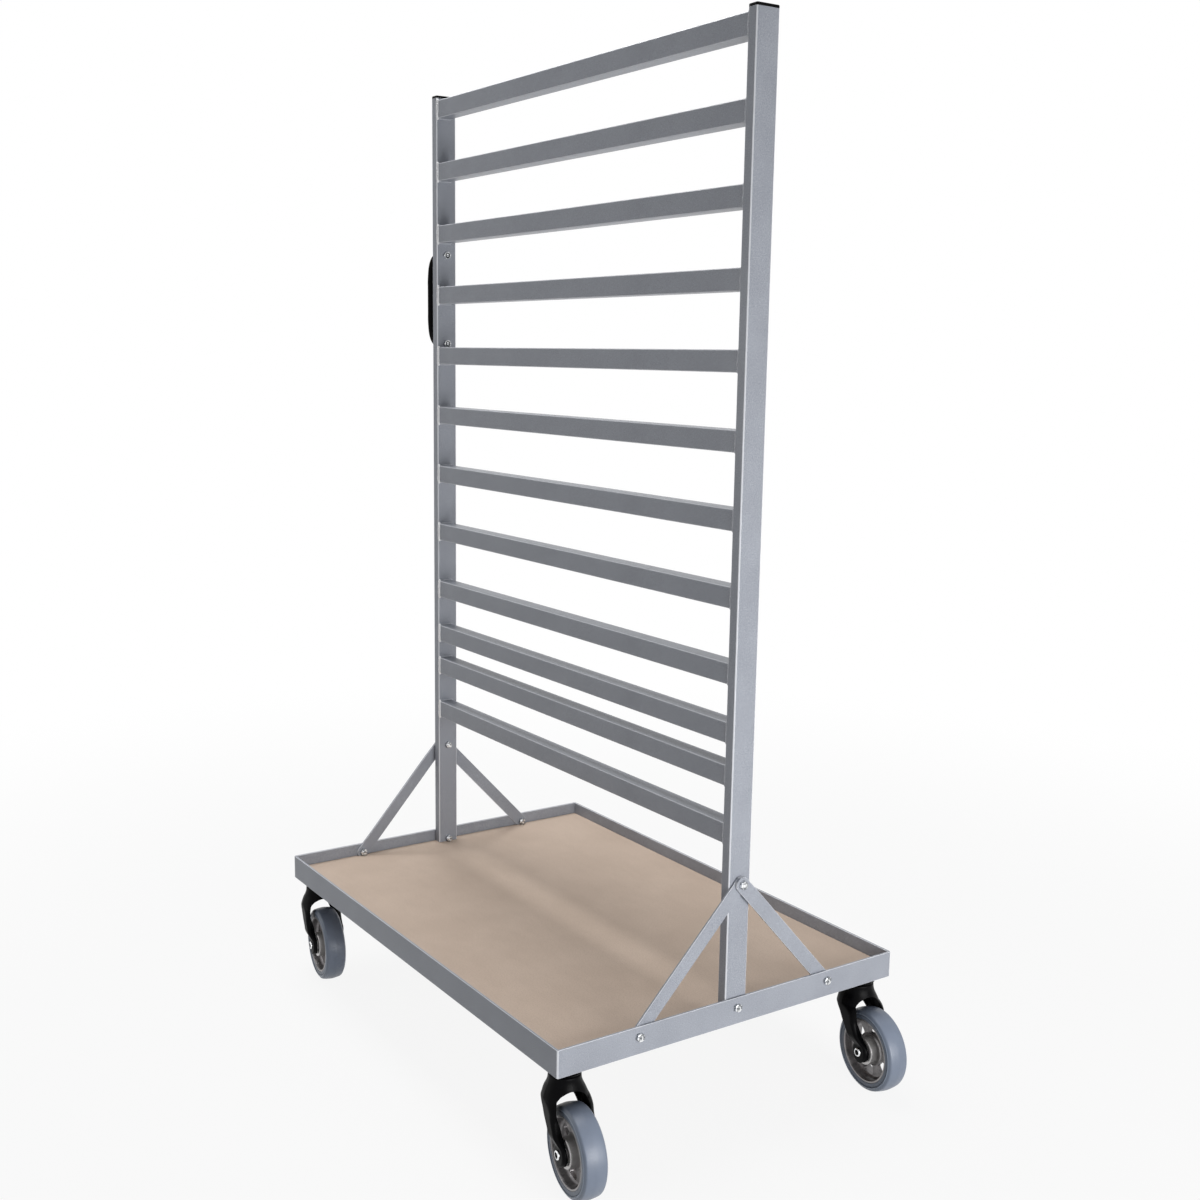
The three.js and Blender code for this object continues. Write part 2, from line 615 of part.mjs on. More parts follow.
function forkSolid() {
  const far = castorTrail + 2 * forkEndRadius;
  const kingpinHole = prism(polygon(circlePoints(kingpinRadius + boltPlay, 12)), archTop, forkTop + overrun);
  const axleHole = prismAlongY(polygon(circlePoints(axleRadius + boltPlay, 12)
    .map(([x, z]) => [x + castorTrail, z + wheelRadius])), -far, far);
  const leadingArch = prismAlongX(archOutline(leadingArchShares), -far, castorTrail / 2);
  const trailingArch = prismAlongX(archOutline(trailingArchShares), castorTrail / 4, far);
  return [leadingArch, trailingArch, kingpinHole, axleHole]
    .reduce((fork, cut) => fork.subtract(solidOf(cut)), forkSkin(0).subtract(forkSkin(forkSheet)));
}

function circlePoints(radius, sides) {
  return Array.from({ length: sides }, (_, i) => {
    const angle = (i / sides) * Math.PI * 2;
    return [radius * Math.cos(angle), radius * Math.sin(angle)];
  });
}

// Swivel head: a pressed dish on a kingpin, with a nut in the fork's crown and one on the corner plate
function headGeometry() {
  const crownCeiling = forkTop - forkSheet;
  const dishBottom = forkTop + seam;
  const dishTop = rimBottom - seam;
  const plateTop = rimBottom + cornerPlateThickness + seam;
  return turned([
    [0, crownCeiling - seam - kingpinNutHeight],
    [kingpinNutRadius, crownCeiling - seam - kingpinNutHeight],
    [kingpinNutRadius, crownCeiling - seam],
    [kingpinRadius, crownCeiling - seam],
    [kingpinRadius, dishBottom],
    [headRadius - headBevel, dishBottom],
    [headRadius, dishBottom + headBevel],
    [headRadius, dishTop - headBevel],
    [headRadius - headBevel, dishTop],
    [kingpinRadius, dishTop],
    [kingpinRadius, plateTop],
    [kingpinNutRadius, plateTop],
    [kingpinNutRadius, plateTop + kingpinNutHeight],
    [0, plateTop + kingpinNutHeight],
  ], 14);
}

// Headings of the forks, and turns of the wheels, in degrees as the trolley was rolled to rest
const castors = [
  { name: 'front_right', sideX: 1, sideY: -1, heading: -8, roll: 23 },
  { name: 'rear_right', sideX: 1, sideY: 1, heading: -5.5, roll: -35 },
  { name: 'rear_left', sideX: -1, sideY: 1, heading: -6.2, roll: 8 },
  { name: 'front_left', sideX: -1, sideY: -1, heading: -7.2, roll: -20 },
];

function addCastor({ name, sideX, sideY, heading, roll }) {
  const x = sideX * (platformLength / 2 - kingpinInsetX);
  const y = sideY * (platformWidth / 2 - kingpinInsetY);
  addCornerPlate(`${name}_corner_plate`, sideX, sideY);
  const head = addPart(trolley, `${name}_swivel_head`, headGeometry(), blackSteel);
  head.position.set(x, y, 0);
  const fork = new THREE.Group();
  fork.position.set(x, y, 0);
  fork.rotation.z = THREE.MathUtils.degToRad(heading);
  trolley.add(fork);
  addPart(fork, `${name}_fork`, geometryOf(forkSolid()), blackSteel);
  const wheel = new THREE.Group();
  wheel.position.set(castorTrail, 0, wheelRadius);
  wheel.rotation.x = Math.PI / 2;
  fork.add(wheel);
  addPart(wheel, `${name}_axle`, axleGeometry(), zinc);
  addPart(wheel, `${name}_wheel_core`, geometryOf(wheelCoreSolid(THREE.MathUtils.degToRad(roll))), castAluminium);
  addPart(wheel, `${name}_tyre`, tyreGeometry(), greyRubber);
}

const handleScrewHeights = [handleLowScrewHeight, handleLowScrewHeight + handleSpacing];
addRails();
addDeck();
addUpright('left_upright', -1, handleScrewHeights);
addUpright('right_upright', 1, []);
addCap('left_upright_cap', -1);
addCap('right_upright_cap', 1);
addRungs();
addBraceAndBolts('left', -1);
addBraceAndBolts('right', 1);
addHandle();
castors.forEach(addCastor);

export default trolley;
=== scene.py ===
import math

import bmesh
import bpy
from mathutils import Matrix, Vector


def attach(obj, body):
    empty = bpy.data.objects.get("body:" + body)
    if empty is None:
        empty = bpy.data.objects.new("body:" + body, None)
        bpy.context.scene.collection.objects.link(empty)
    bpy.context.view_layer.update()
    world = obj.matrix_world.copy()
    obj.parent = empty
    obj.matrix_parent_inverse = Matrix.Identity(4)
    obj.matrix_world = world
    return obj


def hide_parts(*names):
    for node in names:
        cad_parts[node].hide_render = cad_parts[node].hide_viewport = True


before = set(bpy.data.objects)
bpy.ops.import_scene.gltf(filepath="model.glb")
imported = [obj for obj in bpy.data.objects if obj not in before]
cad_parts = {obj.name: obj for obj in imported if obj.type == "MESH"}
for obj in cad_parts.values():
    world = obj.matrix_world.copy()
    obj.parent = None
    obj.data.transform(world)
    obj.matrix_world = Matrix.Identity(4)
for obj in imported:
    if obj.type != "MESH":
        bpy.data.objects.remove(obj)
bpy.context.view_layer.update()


# Platform rim: four lengths of steel angle, the flange up and the ledge inwards. They are mitred,
# welded and ground flush at the corners, drilled for the brace and upright bolts, and powder coated
# in a silver grey whose fine orange peel softens the light on the flat faces.
platform_length = 1.0
platform_width = 0.7
rim_top = 0.0237
rim_bottom = -0.0223
rim_wall = 0.0045
ledge_width = 0.026
ledge_top = rim_bottom + 0.004
root_fillet = 0.003
heel_round = 0.0012
toe_rounds = (0.0008, 0.0016)
rim_rounds = (0.0011, 0.0009)
corner_radius = 0.004
corner_steps = 4
mitre_step = 0.0003


class Shade:
    """A shader socket that takes part in sums. Its node method adds any other node."""

    def __init__(self, tree, socket=None):
        self.tree = tree
        self.socket = socket

    def node(self, kind, settings=None, sockets=None, output=0):
        made = self.tree.nodes.new(kind)
        for key, value in (settings or {}).items():
            setattr(made, key, value)
        for key, value in (sockets or {}).items():
            if isinstance(value, Shade):
                self.tree.links.new(value.socket, made.inputs[key])
            else:
                made.inputs[key].default_value = value
        return Shade(self.tree, made.outputs[output] if made.outputs else None)

    def math(self, operation, first, second):
        return self.node("ShaderNodeMath", {"operation": operation}, {0: first, 1: second})

    def vector(self, operation, first, second, output="Vector"):
        return self.node("ShaderNodeVectorMath", {"operation": operation}, {0: first, 1: second}, output)

    def __add__(self, other):
        return self.math("ADD", self, other)

    def __rsub__(self, other):
        return self.math("SUBTRACT", other, self)

    def __mul__(self, other):
        return self.math("MULTIPLY", self, other)

    __radd__ = __add__
    __rmul__ = __mul__


def new_finish(name):
    """An empty material, a start for its nodes, and the shaded point in the piece's own axes."""
    made = bpy.data.materials.new(name)
    made.use_nodes = True
    made.node_tree.nodes.clear()
    shade = Shade(made.node_tree)
    return made, shade, shade.node("ShaderNodeTexCoord", output="Object")


def tint(red, green, blue):
    """Linear colour of a swatch given in the 0 to 255 steps of a screen."""
    return tuple((part / 255) ** 2.2 for part in (red, green, blue)) + (1.0,)


def noise(place, size, detail=3.0, rough=0.5):
    """Soft noise whose features are about size metres across."""
    return place.node("ShaderNodeTexNoise", {}, {"Vector": place, "Scale": 1 / size, "Detail": detail,
                                                 "Roughness": rough})


def blend_tints(factor, first, second):
    return factor.node("ShaderNodeMix", {"data_type": "RGBA"}, {0: factor, 6: first, 7: second}, 2)


def spread(value, low, high):
    """0 at low, 1 at high, smooth between, and level beyond. High may be the smaller one."""
    return value.node("ShaderNodeMapRange", {"interpolation_type": "SMOOTHSTEP"},
                      {"Value": value, "From Min": low, "From Max": high})


def finished(made, shade, colour, roughness, height, strength, depth, **others):
    """The finish with its surface: raised by height, with depth as the height of a full step."""
    bump = shade.node("ShaderNodeBump", {}, {"Strength": strength, "Distance": depth, "Height": height})
    sockets = {"Base Color": colour, "Roughness": roughness, "Normal": bump}
    sockets.update((key.replace("_", " "), value) for key, value in others.items())
    shade.node("ShaderNodeOutputMaterial", {}, {
        "Surface": shade.node("ShaderNodeBsdfPrincipled", {}, sockets)})
    return made


def corner_mask(shade):
    """1 where a rounded corner faces between two of the piece's own axes, 0 on its flat faces."""
    facing = shade.node("ShaderNodeTexCoord", output="Normal")
    squares = shade.vector("MULTIPLY", facing, facing)
    return spread(shade.vector("DOT_PRODUCT", squares, squares, "Value"), 0.88, 0.7)


def powder_coat(name, corner_highlight, weld_glint=None, highlight_up_high=False):
    """Powder coat with a painted highlight over its rounded corners, on the left upright stronger
    from 0.7 m up. It also has a painted glint over a weld bead, given by where it starts and is full in X and
    in Y."""
    made, shade, place = new_finish(name)
    cloud = noise(place, 0.09, 4.0)
    fleck = noise(place, 0.0017, 3.0, 0.75)
    peel = noise(place, 0.0022, 2.0)
    x, y, z = (shade.node("ShaderNodeSeparateXYZ", {}, {0: place}, axis) for axis in "XYZ")
    colour = blend_tints(spread(cloud, 0.3, 0.7), tint(145, 149, 158), tint(153, 157, 166))
    colour = blend_tints(spread(fleck, 0.52, 0.7) * 0.55, colour, tint(192, 196, 205))
    colour = blend_tints(spread(fleck, 0.48, 0.32) * 0.55, colour, tint(104, 107, 115))
    # Painted highlight: on the left upright the corners' highlight grows stronger from 0.7 m to 1.25 m up
    if highlight_up_high:
        corner_highlight = spread(z, 0.7, 1.25) * 0.3 + corner_highlight
    # Painted highlight: rounded corners, where the normal turns between two axes, are coloured near white
    colour = blend_tints(corner_mask(shade) * corner_highlight, colour, tint(244, 246, 251))
    # Painted glint: the front of the left weld bead is coloured near white
    if weld_glint:
        bead_glint = spread(x, *weld_glint[0]) * spread(y, *weld_glint[1])
        colour = blend_tints(bead_glint * spread(fleck, 0.22, 0.36), colour, tint(250, 251, 253))
    return finished(made, shade, colour, cloud * 0.08 + (fleck * 0.1 + 0.4), peel + fleck * 0.3, 0.16, 0.0004,
                    Specular_IOR_Level=0.3, Coat_Weight=0.25, Coat_Roughness=0.14)


grey_paint = powder_coat("silver_grey_powder_coat", 0.68)


def rounded(corners, steps):
    """Outline through (x, y, radius) corners, each corner turned into an arc."""
    outline = []
    for i, (x, y, radius) in enumerate(corners):
        here = Vector((x, y))
        if not radius:
            outline.append(here)
            continue
        before = (Vector(corners[i - 1][:2]) - here).normalized()
        after = (Vector(corners[(i + 1) % len(corners)][:2]) - here).normalized()
        half = before.angle(after) / 2
        centre = here + (before + after).normalized() * radius / math.sin(half)
        start = here + before * radius / math.tan(half) - centre
        end = here + after * radius / math.tan(half) - centre
        first = math.atan2(start.y, start.x)
        turn = (math.atan2(end.y, end.x) - first + math.pi) % (2 * math.pi) - math.pi
        for step in range(steps + 1):
            angle = first + turn * step / steps
            outline.append(centre + radius * Vector((math.cos(angle), math.sin(angle))))
    return outline


def lofted(rings, looped=False):
    """Points and faces of a skin over rings of equal count, closed at both ends or looped."""
    count = len(rings[0])
    points = [point for ring in rings for point in ring]
    faces = []
    for ring in range(len(rings) if looped else len(rings) - 1):
        low, high = ring * count, (ring + 1) % len(rings) * count
        for i in range(count):
            j = (i + 1) % count
            faces.append((low + i, low + j, high + j, high + i))
    if not looped:
        faces.append(tuple(reversed(range(count))))
        faces.append(tuple(range(len(points) - count, len(points))))
    return points, faces


def creased(made, crease):
    """The mesh, smooth except at edges sharper than the crease."""
    made.shade_smooth()
    made.set_sharp_from_angle(angle=math.radians(crease))
    return made


def closed_up(work, name, crease):
    """The mesh of a finished skin."""
    made = bpy.data.meshes.new(name)
    bmesh.ops.recalc_face_normals(work, faces=work.faces)
    work.to_mesh(made)
    work.free()
    return creased(made, crease)


def meshed(name, *shapes, crease=34):
    """One mesh of several lofted shapes."""
    work = bmesh.new()
    for points, faces in shapes:
        corners = [work.verts.new(point) for point in points]
        for face in faces:
            work.faces.new([corners[i] for i in face])
    bmesh.ops.remove_doubles(work, verts=work.verts, dist=1e-7)
    return closed_up(work, name, crease)


def new_object(name, data):
    made = bpy.data.objects.new(name, data)
    bpy.context.scene.collection.objects.link(made)
    return made


def set_in(name, mesh, finish, node, body, place=None):
    """Puts a piece where its CAD node is, with its finish, on its body."""
    made = new_object(name, mesh)
    if not mesh.materials:
        mesh.materials.append(finish)
    if place is not None:
        made.matrix_world = place
    even = made.modifiers.new("even_flats", "WEIGHTED_NORMAL")
    even.keep_sharp = True
    even.weight = 90
    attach(made, body)
    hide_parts(node)
    return made


def rail_mesh(name, length):
    """Angle drawn along X with its outer face at y = 0 and its ledge towards +y."""
    section = rounded([(0, rim_bottom, heel_round), (ledge_width, rim_bottom, toe_rounds[0]),
                       (ledge_width, ledge_top, toe_rounds[1]), (rim_wall, ledge_top, root_fillet),
                       (rim_wall, rim_top, rim_rounds[0]), (0, rim_top, rim_rounds[1])], 3)
    half = length / 2
    stations = []
    for step in range(corner_steps + 1):
        angle = math.pi / 4 * (1 - step / corner_steps)
        ring = []
        for depth, height in section:
            if depth < corner_radius:
                reach = corner_radius - depth
                ring.append((corner_radius - reach * math.sin(angle),
                             corner_radius - reach * math.cos(angle), height))
            else:
                ring.append((depth + step * mitre_step, depth, height))
        stations.append(ring)
    left = [[(-half + x, y, z) for x, y, z in ring] for ring in stations]
    right = [[(half - x, y, z) for x, y, z in ring] for ring in reversed(stations)]
    return meshed(name, lofted(left + right))


for name, length, offset, quarter in (("front_rail", platform_length, platform_width / 2, 0),
                                      ("right_rail", platform_width, platform_length / 2, 1),
                                      ("rear_rail", platform_length, platform_width / 2, 2),
                                      ("left_rail", platform_width, platform_length / 2, 3)):
    turn = Matrix.Rotation(quarter * math.pi / 2, 4, "Z")
    set_in(f"{name}_angle", rail_mesh(name, length), grey_paint, name, "frame",
           turn @ Matrix.Translation((0, -offset, 0)))


# Corner plates: flat steel plates welded between the ledges, each with a hole for a castor's
# kingpin. They are sheared, plain and coated with the rim, so they keep their CAD shape.
for name in ("front_right", "rear_right", "rear_left", "front_left"):
    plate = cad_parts[f"{name}_corner_plate"]
    plate.data.materials.clear()
    plate.data.materials.append(grey_paint)


# Deck: one raw medium-density fibreboard that lies loose on the ledge. It is sawn to size with
# its arrises eased, notched round the brace feet, and bored below for the kingpin nuts.
deck_half = (0.4949, 0.3449)
deck_thickness = 0.018
deck_arris = 0.0009
deck_corner = 0.003
saw_ease = 0.0005
notch_floor = 0.4909
notch_half = 0.0131
notch_mouth = 0.0008
notch_corner = 0.001
brace_foot = 0.197
kingpin_place = (0.4625, 0.3115)
pocket_radius = 0.013
pocket_depth = 0.012


def fibreboard():
    made, shade, place = new_finish("raw_fibreboard")
    warp = shade.node("ShaderNodeTexNoise", {}, {"Vector": place, "Scale": 6.0, "Detail": 3.0}, "Color")
    bent = shade.node("ShaderNodeVectorMath", {"operation": "MULTIPLY_ADD"},
                      {0: warp, 1: (0.05, 0.05, 0.0), 2: place})
    cloud = noise(bent, 0.16, 5.0, 0.6)
    fibre = noise(place, 0.0026, 6.0, 0.75)
    streak = noise(shade.vector("MULTIPLY", bent, (0.22, 1.0, 1.0)), 0.02, 4.0, 0.65)
    speck = noise(place, 0.0012, 2.0, 0.6)
    colour = blend_tints(spread(cloud, 0.3, 0.7), tint(191, 172, 156), tint(200, 181, 165))
    colour = blend_tints(spread(streak, 0.4, 0.75) * 0.16, colour, tint(174, 155, 139))
    colour = blend_tints(spread(fibre, 0.45, 0.65) * 0.5, colour, tint(164, 145, 129))
    colour = blend_tints(spread(speck, 0.62, 0.75) * 0.45, colour, tint(216, 203, 186))
    return finished(made, shade, colour, fibre * 0.16 + 0.58, fibre + streak * 0.3, 0.25, 0.0004,
                    Specular_IOR_Level=0.3)


def inset(outline, distance):
    """The outline moved inwards by distance, for an outline that runs anticlockwise."""
    moved = []
    for i, here in enumerate(outline):
        before = (here - outline[i - 1]).normalized()
        after = (outline[(i + 1) % len(outline)] - here).normalized()
        middle = (Vector((-before.y, before.x)) + Vector((-after.y, after.x))).normalized()
        moved.append(here + middle * distance / max(0.5, middle.dot(Vector((-before.y, before.x)))))
    return moved


def around(radius, i, sides):
    """Corner i of a regular outline about the origin."""
    angle = 2 * math.pi * i / sides
    return radius * math.cos(angle), radius * math.sin(angle)


def circle(radius, sides, x=0.0, y=0.0):
    return [Vector((x + u, y + v)) for u, v in (around(radius, i, sides) for i in range(sides))]


def deck_mesh():
    half_x, half_y = deck_half
    edge = [(half_x, -half_y, deck_corner)]
    for foot in (-brace_foot, brace_foot):
        edge += [(half_x, foot - notch_half, notch_mouth), (notch_floor, foot - notch_half, notch_corner),
                 (notch_floor, foot + notch_half, notch_corner), (half_x, foot + notch_half, notch_mouth)]
    edge.append((half_x, half_y, deck_corner))
    outline = rounded(edge + [(-x, -y, radius) for x, y, radius in edge], 3)
    rings = [[(x, y, level) for x, y in inset(outline, step)] for step, level in (
        (saw_ease, -deck_thickness), (0.0, saw_ease - deck_thickness), (0.0, -deck_arris),
        (deck_arris * 0.3, -deck_arris * 0.3), (deck_arris, 0.0))]
    work = bmesh.new()

    def loop(ring):
        return [work.verts.new(point) for point in ring]

    def bridge(low, high):
        for i in range(len(low)):
            j = (i + 1) % len(low)
            work.faces.new([low[i], low[j], high[j], high[i]])

    loops = [loop(ring) for ring in rings]
    for low, high in zip(loops, loops[1:]):
        bridge(low, high)
    work.faces.new(loops[-1])
    lower_edges = [work.edges.get((loops[0][i - 1], loops[0][i])) for i in range(len(loops[0]))]
    for side_x in (-1, 1):
        for side_y in (-1, 1):
            wall = circle(pocket_radius, 32, side_x * kingpin_place[0], side_y * kingpin_place[1])
            mouth = loop([(x, y, -deck_thickness) for x, y in wall])
            ceiling = loop([(x, y, pocket_depth - deck_thickness) for x, y in wall])
            bridge(mouth, ceiling)
            work.faces.new(ceiling)
            lower_edges += [work.edges.get((mouth[i - 1], mouth[i])) for i in range(len(mouth))]
    bmesh.ops.triangle_fill(work, edges=lower_edges, use_beauty=True, normal=(0, 0, -1))
    return closed_up(work, "deck_board", 50)


set_in("deck_fibreboard", deck_mesh(), fibreboard(), "deck_board", "frame")


# Uprights: two lengths of 20 x 44 mm cold-formed rectangular tube that stand on the deck inside
# the rim's ends and are bolted through it. Their corners are rolled to a 3 mm radius, and the thin
# bright line down each one is a painted highlight on those rounded corners.
upright_width = 0.02
upright_depth = 0.044
upright_wall = 0.002
upright_corner = 0.003
upright_top = 1.5522
upright_place = 0.4852
# Clearance that keeps the meshes of touching pieces apart, here and in the sections below
hair_gap = 0.0003
upright_foot = hair_gap


def rectangle(width, depth, radius, steps=5):
    x, y = width / 2, depth / 2
    return rounded([(x, y, radius), (-x, y, radius), (-x, -y, radius), (x, -y, radius)], steps)


def tube_shape(width, depth, wall, radius, low, high):
    """Open tube along Z with eased ends."""
    ease = wall * 0.15
    outer = rectangle(width, depth, radius)
    inner = rectangle(width - 2 * wall, depth - 2 * wall, radius - wall / 2)
    levels = [(inset(outer, ease), low), (outer, low + ease), (outer, high - ease),
              (inset(outer, ease), high), (inner, high), (inner, low)]
    return lofted([[(x, y, level) for x, y in ring] for ring, level in levels], looped=True)


# The left upright's paint has a painted corner highlight that is stronger higher up
highlighted_upright_paint = powder_coat("silver_grey_painted_highlight", 0.68, highlight_up_high=True)
for side_name, side, paint in (("left", -1, highlighted_upright_paint), ("right", 1, grey_paint)):
    tube = meshed(f"{side_name}_upright", tube_shape(
        upright_width, upright_depth, upright_wall, upright_corner, upright_foot, upright_top))
    set_in(f"{side_name}_upright_tube", tube, paint, f"{side_name}_upright", "frame",
           Matrix.Translation((side * upright_place, 0, 0)))


# Upright caps: black polyethylene plugs that are hammered into the tubes' tops. Each has a
# flange with a rounded rim and a faintly crowned top, and a tapered plug with gripping fins below.
cap_top = 1.5572
cap_edge = 0.0016
cap_plug = 0.0157
cap_seat = 0.0002
first_fin = 0.013
fin_count = 4
fin_pitch = 0.003
fin_depth = 0.0005
fin_heights = (0.0012, 0.0016)
flange_edge = 0.0003
edge_steps = 5
# How far the plug's tip and the crown of the flange lie inside the outline, and at what height
plug_tip = [(0.0008, 0.0), (0.0004, 0.001)]
cap_crown = [(0.004, -0.0001), (0.008, 0.0)]


def black_plastic():
    made, shade, place = new_finish("black_moulded_plastic")
    grain = noise(place, 0.0007, 2.0, 0.6)
    cloud = noise(place, 0.02, 3.0)
    colour = blend_tints(spread(cloud, 0.3, 0.75), tint(4, 4, 5), tint(9, 9, 10))
    return finished(made, shade, colour, cloud * 0.12 + 0.44, grain, 0.2, 0.0002, Specular_IOR_Level=0.06)


def cap_mesh():
    flange = rectangle(upright_width, upright_depth, upright_corner)
    plug_gap = upright_wall + hair_gap
    plug = rectangle(upright_width - 2 * plug_gap, upright_depth - 2 * plug_gap, upright_corner - 0.001)
    seat = upright_top + cap_seat
    levels = [(inset(plug, inside), upright_top - cap_plug + rise) for inside, rise in plug_tip]
    for fin in range(fin_count):
        base = upright_top - first_fin + fin * fin_pitch
        levels += [(inset(plug, fin_depth), base), (plug, base + fin_heights[0]),
                   (inset(plug, fin_depth), base + fin_heights[1])]
    levels += [(inset(plug, hair_gap), seat), (inset(flange, cap_seat), seat), (flange, seat + flange_edge)]
    for step in range(edge_steps + 1):
        angle = step / edge_steps * math.pi / 2
        levels.append((inset(flange, cap_edge * (1 - math.cos(angle))),
                       cap_top - flange_edge - cap_edge * (1 - math.sin(angle))))
    levels += [(inset(flange, inside), cap_top + rise) for inside, rise in cap_crown]
    return meshed("upright_cap", lofted([[(x, y, level) for x, y in ring] for ring, level in levels]))


plastic = black_plastic()
cap = cap_mesh()
for side_name, side in (("left", -1), ("right", 1)):
    set_in(f"{side_name}_upright_plug", cap, plastic, f"{side_name}_upright_cap", "frame",
           Matrix.Translation((side * upright_place, 0, 0)))


# Rungs: twelve lengths of 30 x 34.5 mm rectangular tube between the uprights, nine at one pitch
# and three closer together at the bottom. Each end has a rippled fillet weld all round, coated
# over with the frame, and the left ends' beads carry a painted glint along the upright's front corner.
rung_height = 0.0345
rung_depth = 0.03
rung_wall = 0.0018
rung_corner = 0.0022
rung_end = 0.4749
rung_middle_y = -0.005
rung_tops = [0.3170, 0.4124, 0.4826, 0.5778, 0.6990, 0.8202, 0.9414, 1.0626, 1.1838, 1.3050, 1.4262, 1.5474]
rung_sunk = 0.0002
bead_radius = 0.0014
bead_stand_off = 0.0004
bead_step = 0.0008
bead_sides = 8
front_swell = 1.2
# Where the painted glint on the left weld bead starts and where it is full, along and across the rung
glint_along = (0.0048 - rung_end, 0.0042 - rung_end)
glint_across = (-0.0125, -0.0145)
# Swing, rate and shift of the ripples along the bead
bead_ripples = ((0.16, 1.25, 0), (0.12, 0.37, 1), (0.1, 0.113, 0))


def bead_shape(end):
    """Weld bead round one end of a rung, in the rung's own axes with its length along Z."""
    path = rectangle(rung_depth + bead_stand_off, rung_height + bead_stand_off, rung_corner, 6)
    dense = []
    for i, here in enumerate(path):
        following = path[(i + 1) % len(path)]
        parts = max(1, round((following - here).length / bead_step))
        dense += [here.lerp(following, part / parts) for part in range(parts)]
    rings = []
    for i, here in enumerate(dense):
        along = (dense[(i + 1) % len(dense)] - dense[i - 1]).normalized()
        out = Vector((along.y, -along.x))
        swell = front_swell if end < 0 and here.x < -rung_depth * 0.42 else 0.0
        ripple = sum(swing * math.sin(i * rate + shift * end) for swing, rate, shift in bead_ripples)
        radius = bead_radius * (1 + swell + ripple)
        ring = []
        for step in range(bead_sides):
            angle = step / bead_sides * 2 * math.pi
            flat = here + out * radius * math.cos(angle)
            ring.append((flat.x, flat.y, end * (rung_end - rung_sunk) + radius * math.sin(angle) * 0.9))
        rings.append(ring)
    return lofted(rings, looped=True)


rung = meshed("rung_tube", tube_shape(rung_depth, rung_height, rung_wall, rung_corner, -rung_end - rung_sunk,
                                      rung_end + rung_sunk), bead_shape(-1), bead_shape(1), crease=48)
# The tube's length is drawn along Z and turned to lie along X, its first side across the trolley
rung.transform(Matrix(((0, 0, 1, 0), (1, 0, 0, 0), (0, 1, 0, 0), (0, 0, 0, 1))))
weld_glint_paint = powder_coat("silver_grey_painted_weld_glint", 0.5, weld_glint=(glint_along, glint_across))
for i, top in enumerate(rung_tops):
    set_in(f"rung_{i + 1:02d}_tube", rung, weld_glint_paint, f"rung_{i + 1:02d}", "frame",
           Matrix.Translation((0, rung_middle_y, top - rung_height / 2)))


# Braces: four flat bars with rounded, drilled ends. Each is set twice near its ends, so that it
# leaves the inside of the rim and lies on the upright's outer face, one bar upon the other.
brace_half_width = 0.0125
brace_thickness = 0.004
brace_top_height = 0.2177
brace_set = 0.008
brace_ease = 0.0005
round_steps = 7
bend_steps = 4
bend_reach = 1.3 * brace_set
first_angle = 0.1
bolt_height = 0.0068


def brace_mesh(name, offset):
    """Flat bar along X from the foot bolt to the top bolt, across Y, set outwards along Z."""
    rise = brace_top_height - bolt_height
    length = math.hypot(rise, brace_foot)
    foot_flat = (rim_top - bolt_height) * length / rise + brace_half_width * brace_foot / rise
    top_flat = length - (upright_depth / 2 * length / brace_foot + brace_half_width * rise / brace_foot)

    def set_out(along):
        total = 0.0
        samples = 2 * bend_steps + 1
        for sample in range(samples):
            reach = along + (sample - bend_steps) / bend_steps * brace_set
            share = (reach - foot_flat) / (top_flat - foot_flat)
            total += min(1.0, max(0.0, share)) * offset / samples
        return total

    stations = [(-brace_half_width * math.cos(angle), brace_half_width * math.sin(angle)) for angle in (
        first_angle + step * (math.pi / 2 - first_angle) / round_steps for step in range(round_steps + 1))]
    for bend in (foot_flat, top_flat):
        stations += [(bend + (step - bend_steps) / bend_steps * bend_reach, brace_half_width)
                     for step in range(2 * bend_steps + 1)]
    stations += [(length - along, half) for along, half in reversed(stations[:round_steps + 1])]
    rings = []
    for along, half in stations:
        low = set_out(along)
        high = low + brace_thickness
        rings.append([(along, side, level) for side, level in (
            (-half, low + brace_ease), (-half + brace_ease, low), (half - brace_ease, low),
            (half, low + brace_ease), (half, high - brace_ease), (half - brace_ease, high),
            (-half + brace_ease, high), (-half, high - brace_ease))])
    return meshed(name, lofted(rings))


foot_face = 0.4912
upright_face = 0.4952
for side_name, side in (("left", -1), ("right", 1)):
    for reach_name, reach in (("front", -1), ("rear", 1)):
        layer = 1 if reach == side else 0
        offset = upright_face + hair_gap + layer * (brace_thickness + hair_gap) - foot_face
        along = Vector((0, -reach * brace_foot, brace_top_height - bolt_height)).normalized()
        outwards = Vector((side, 0, 0))
        across = outwards.cross(along)
        place = Matrix((along, across, outwards)).transposed().to_4x4()
        place.translation = (side * foot_face, reach * brace_foot, bolt_height)
        name = f"{side_name}_{reach_name}_brace"
        set_in(f"{name}_bar", brace_mesh(name, offset), grey_paint, name, "frame", place)


# Hex bolts: eight M8 bolts with nuts that hold the braces and uprights. They are cold forged,
# chamfered on the head and both ends of the nut, rolled with a coarse thread, and zinc plated.
bolt_radius = 0.004
hex_across = 0.013
head_height = 0.0053
nut_height = 0.0065
bolt_end = 0.003
shank_radius = 0.97 * bolt_radius
shank_lap = 0.0002
thread_pitch = 0.00125
# Radius over one ridge of the thread as a share of the bolt's, and height as a share of the pitch
thread_ridge = ((0.87, 0.1), (0.99, 0.5), (0.87, 0.9))
thread_tip = 0.86
thread_run_out = 0.9
collar_share = 0.47
collar_height = 0.0004
chamfer_share = 0.95
chamfer_slope = 0.58
least_chamfer = 0.00005


def turning_radius(place):
    """Distance from the Z axis, about which screws, axles and wheels are drawn."""
    flat = place.vector("MULTIPLY", place, (1, 1, 0))
    return place.node("ShaderNodeVectorMath", {"operation": "LENGTH"}, {0: flat}, "Value")


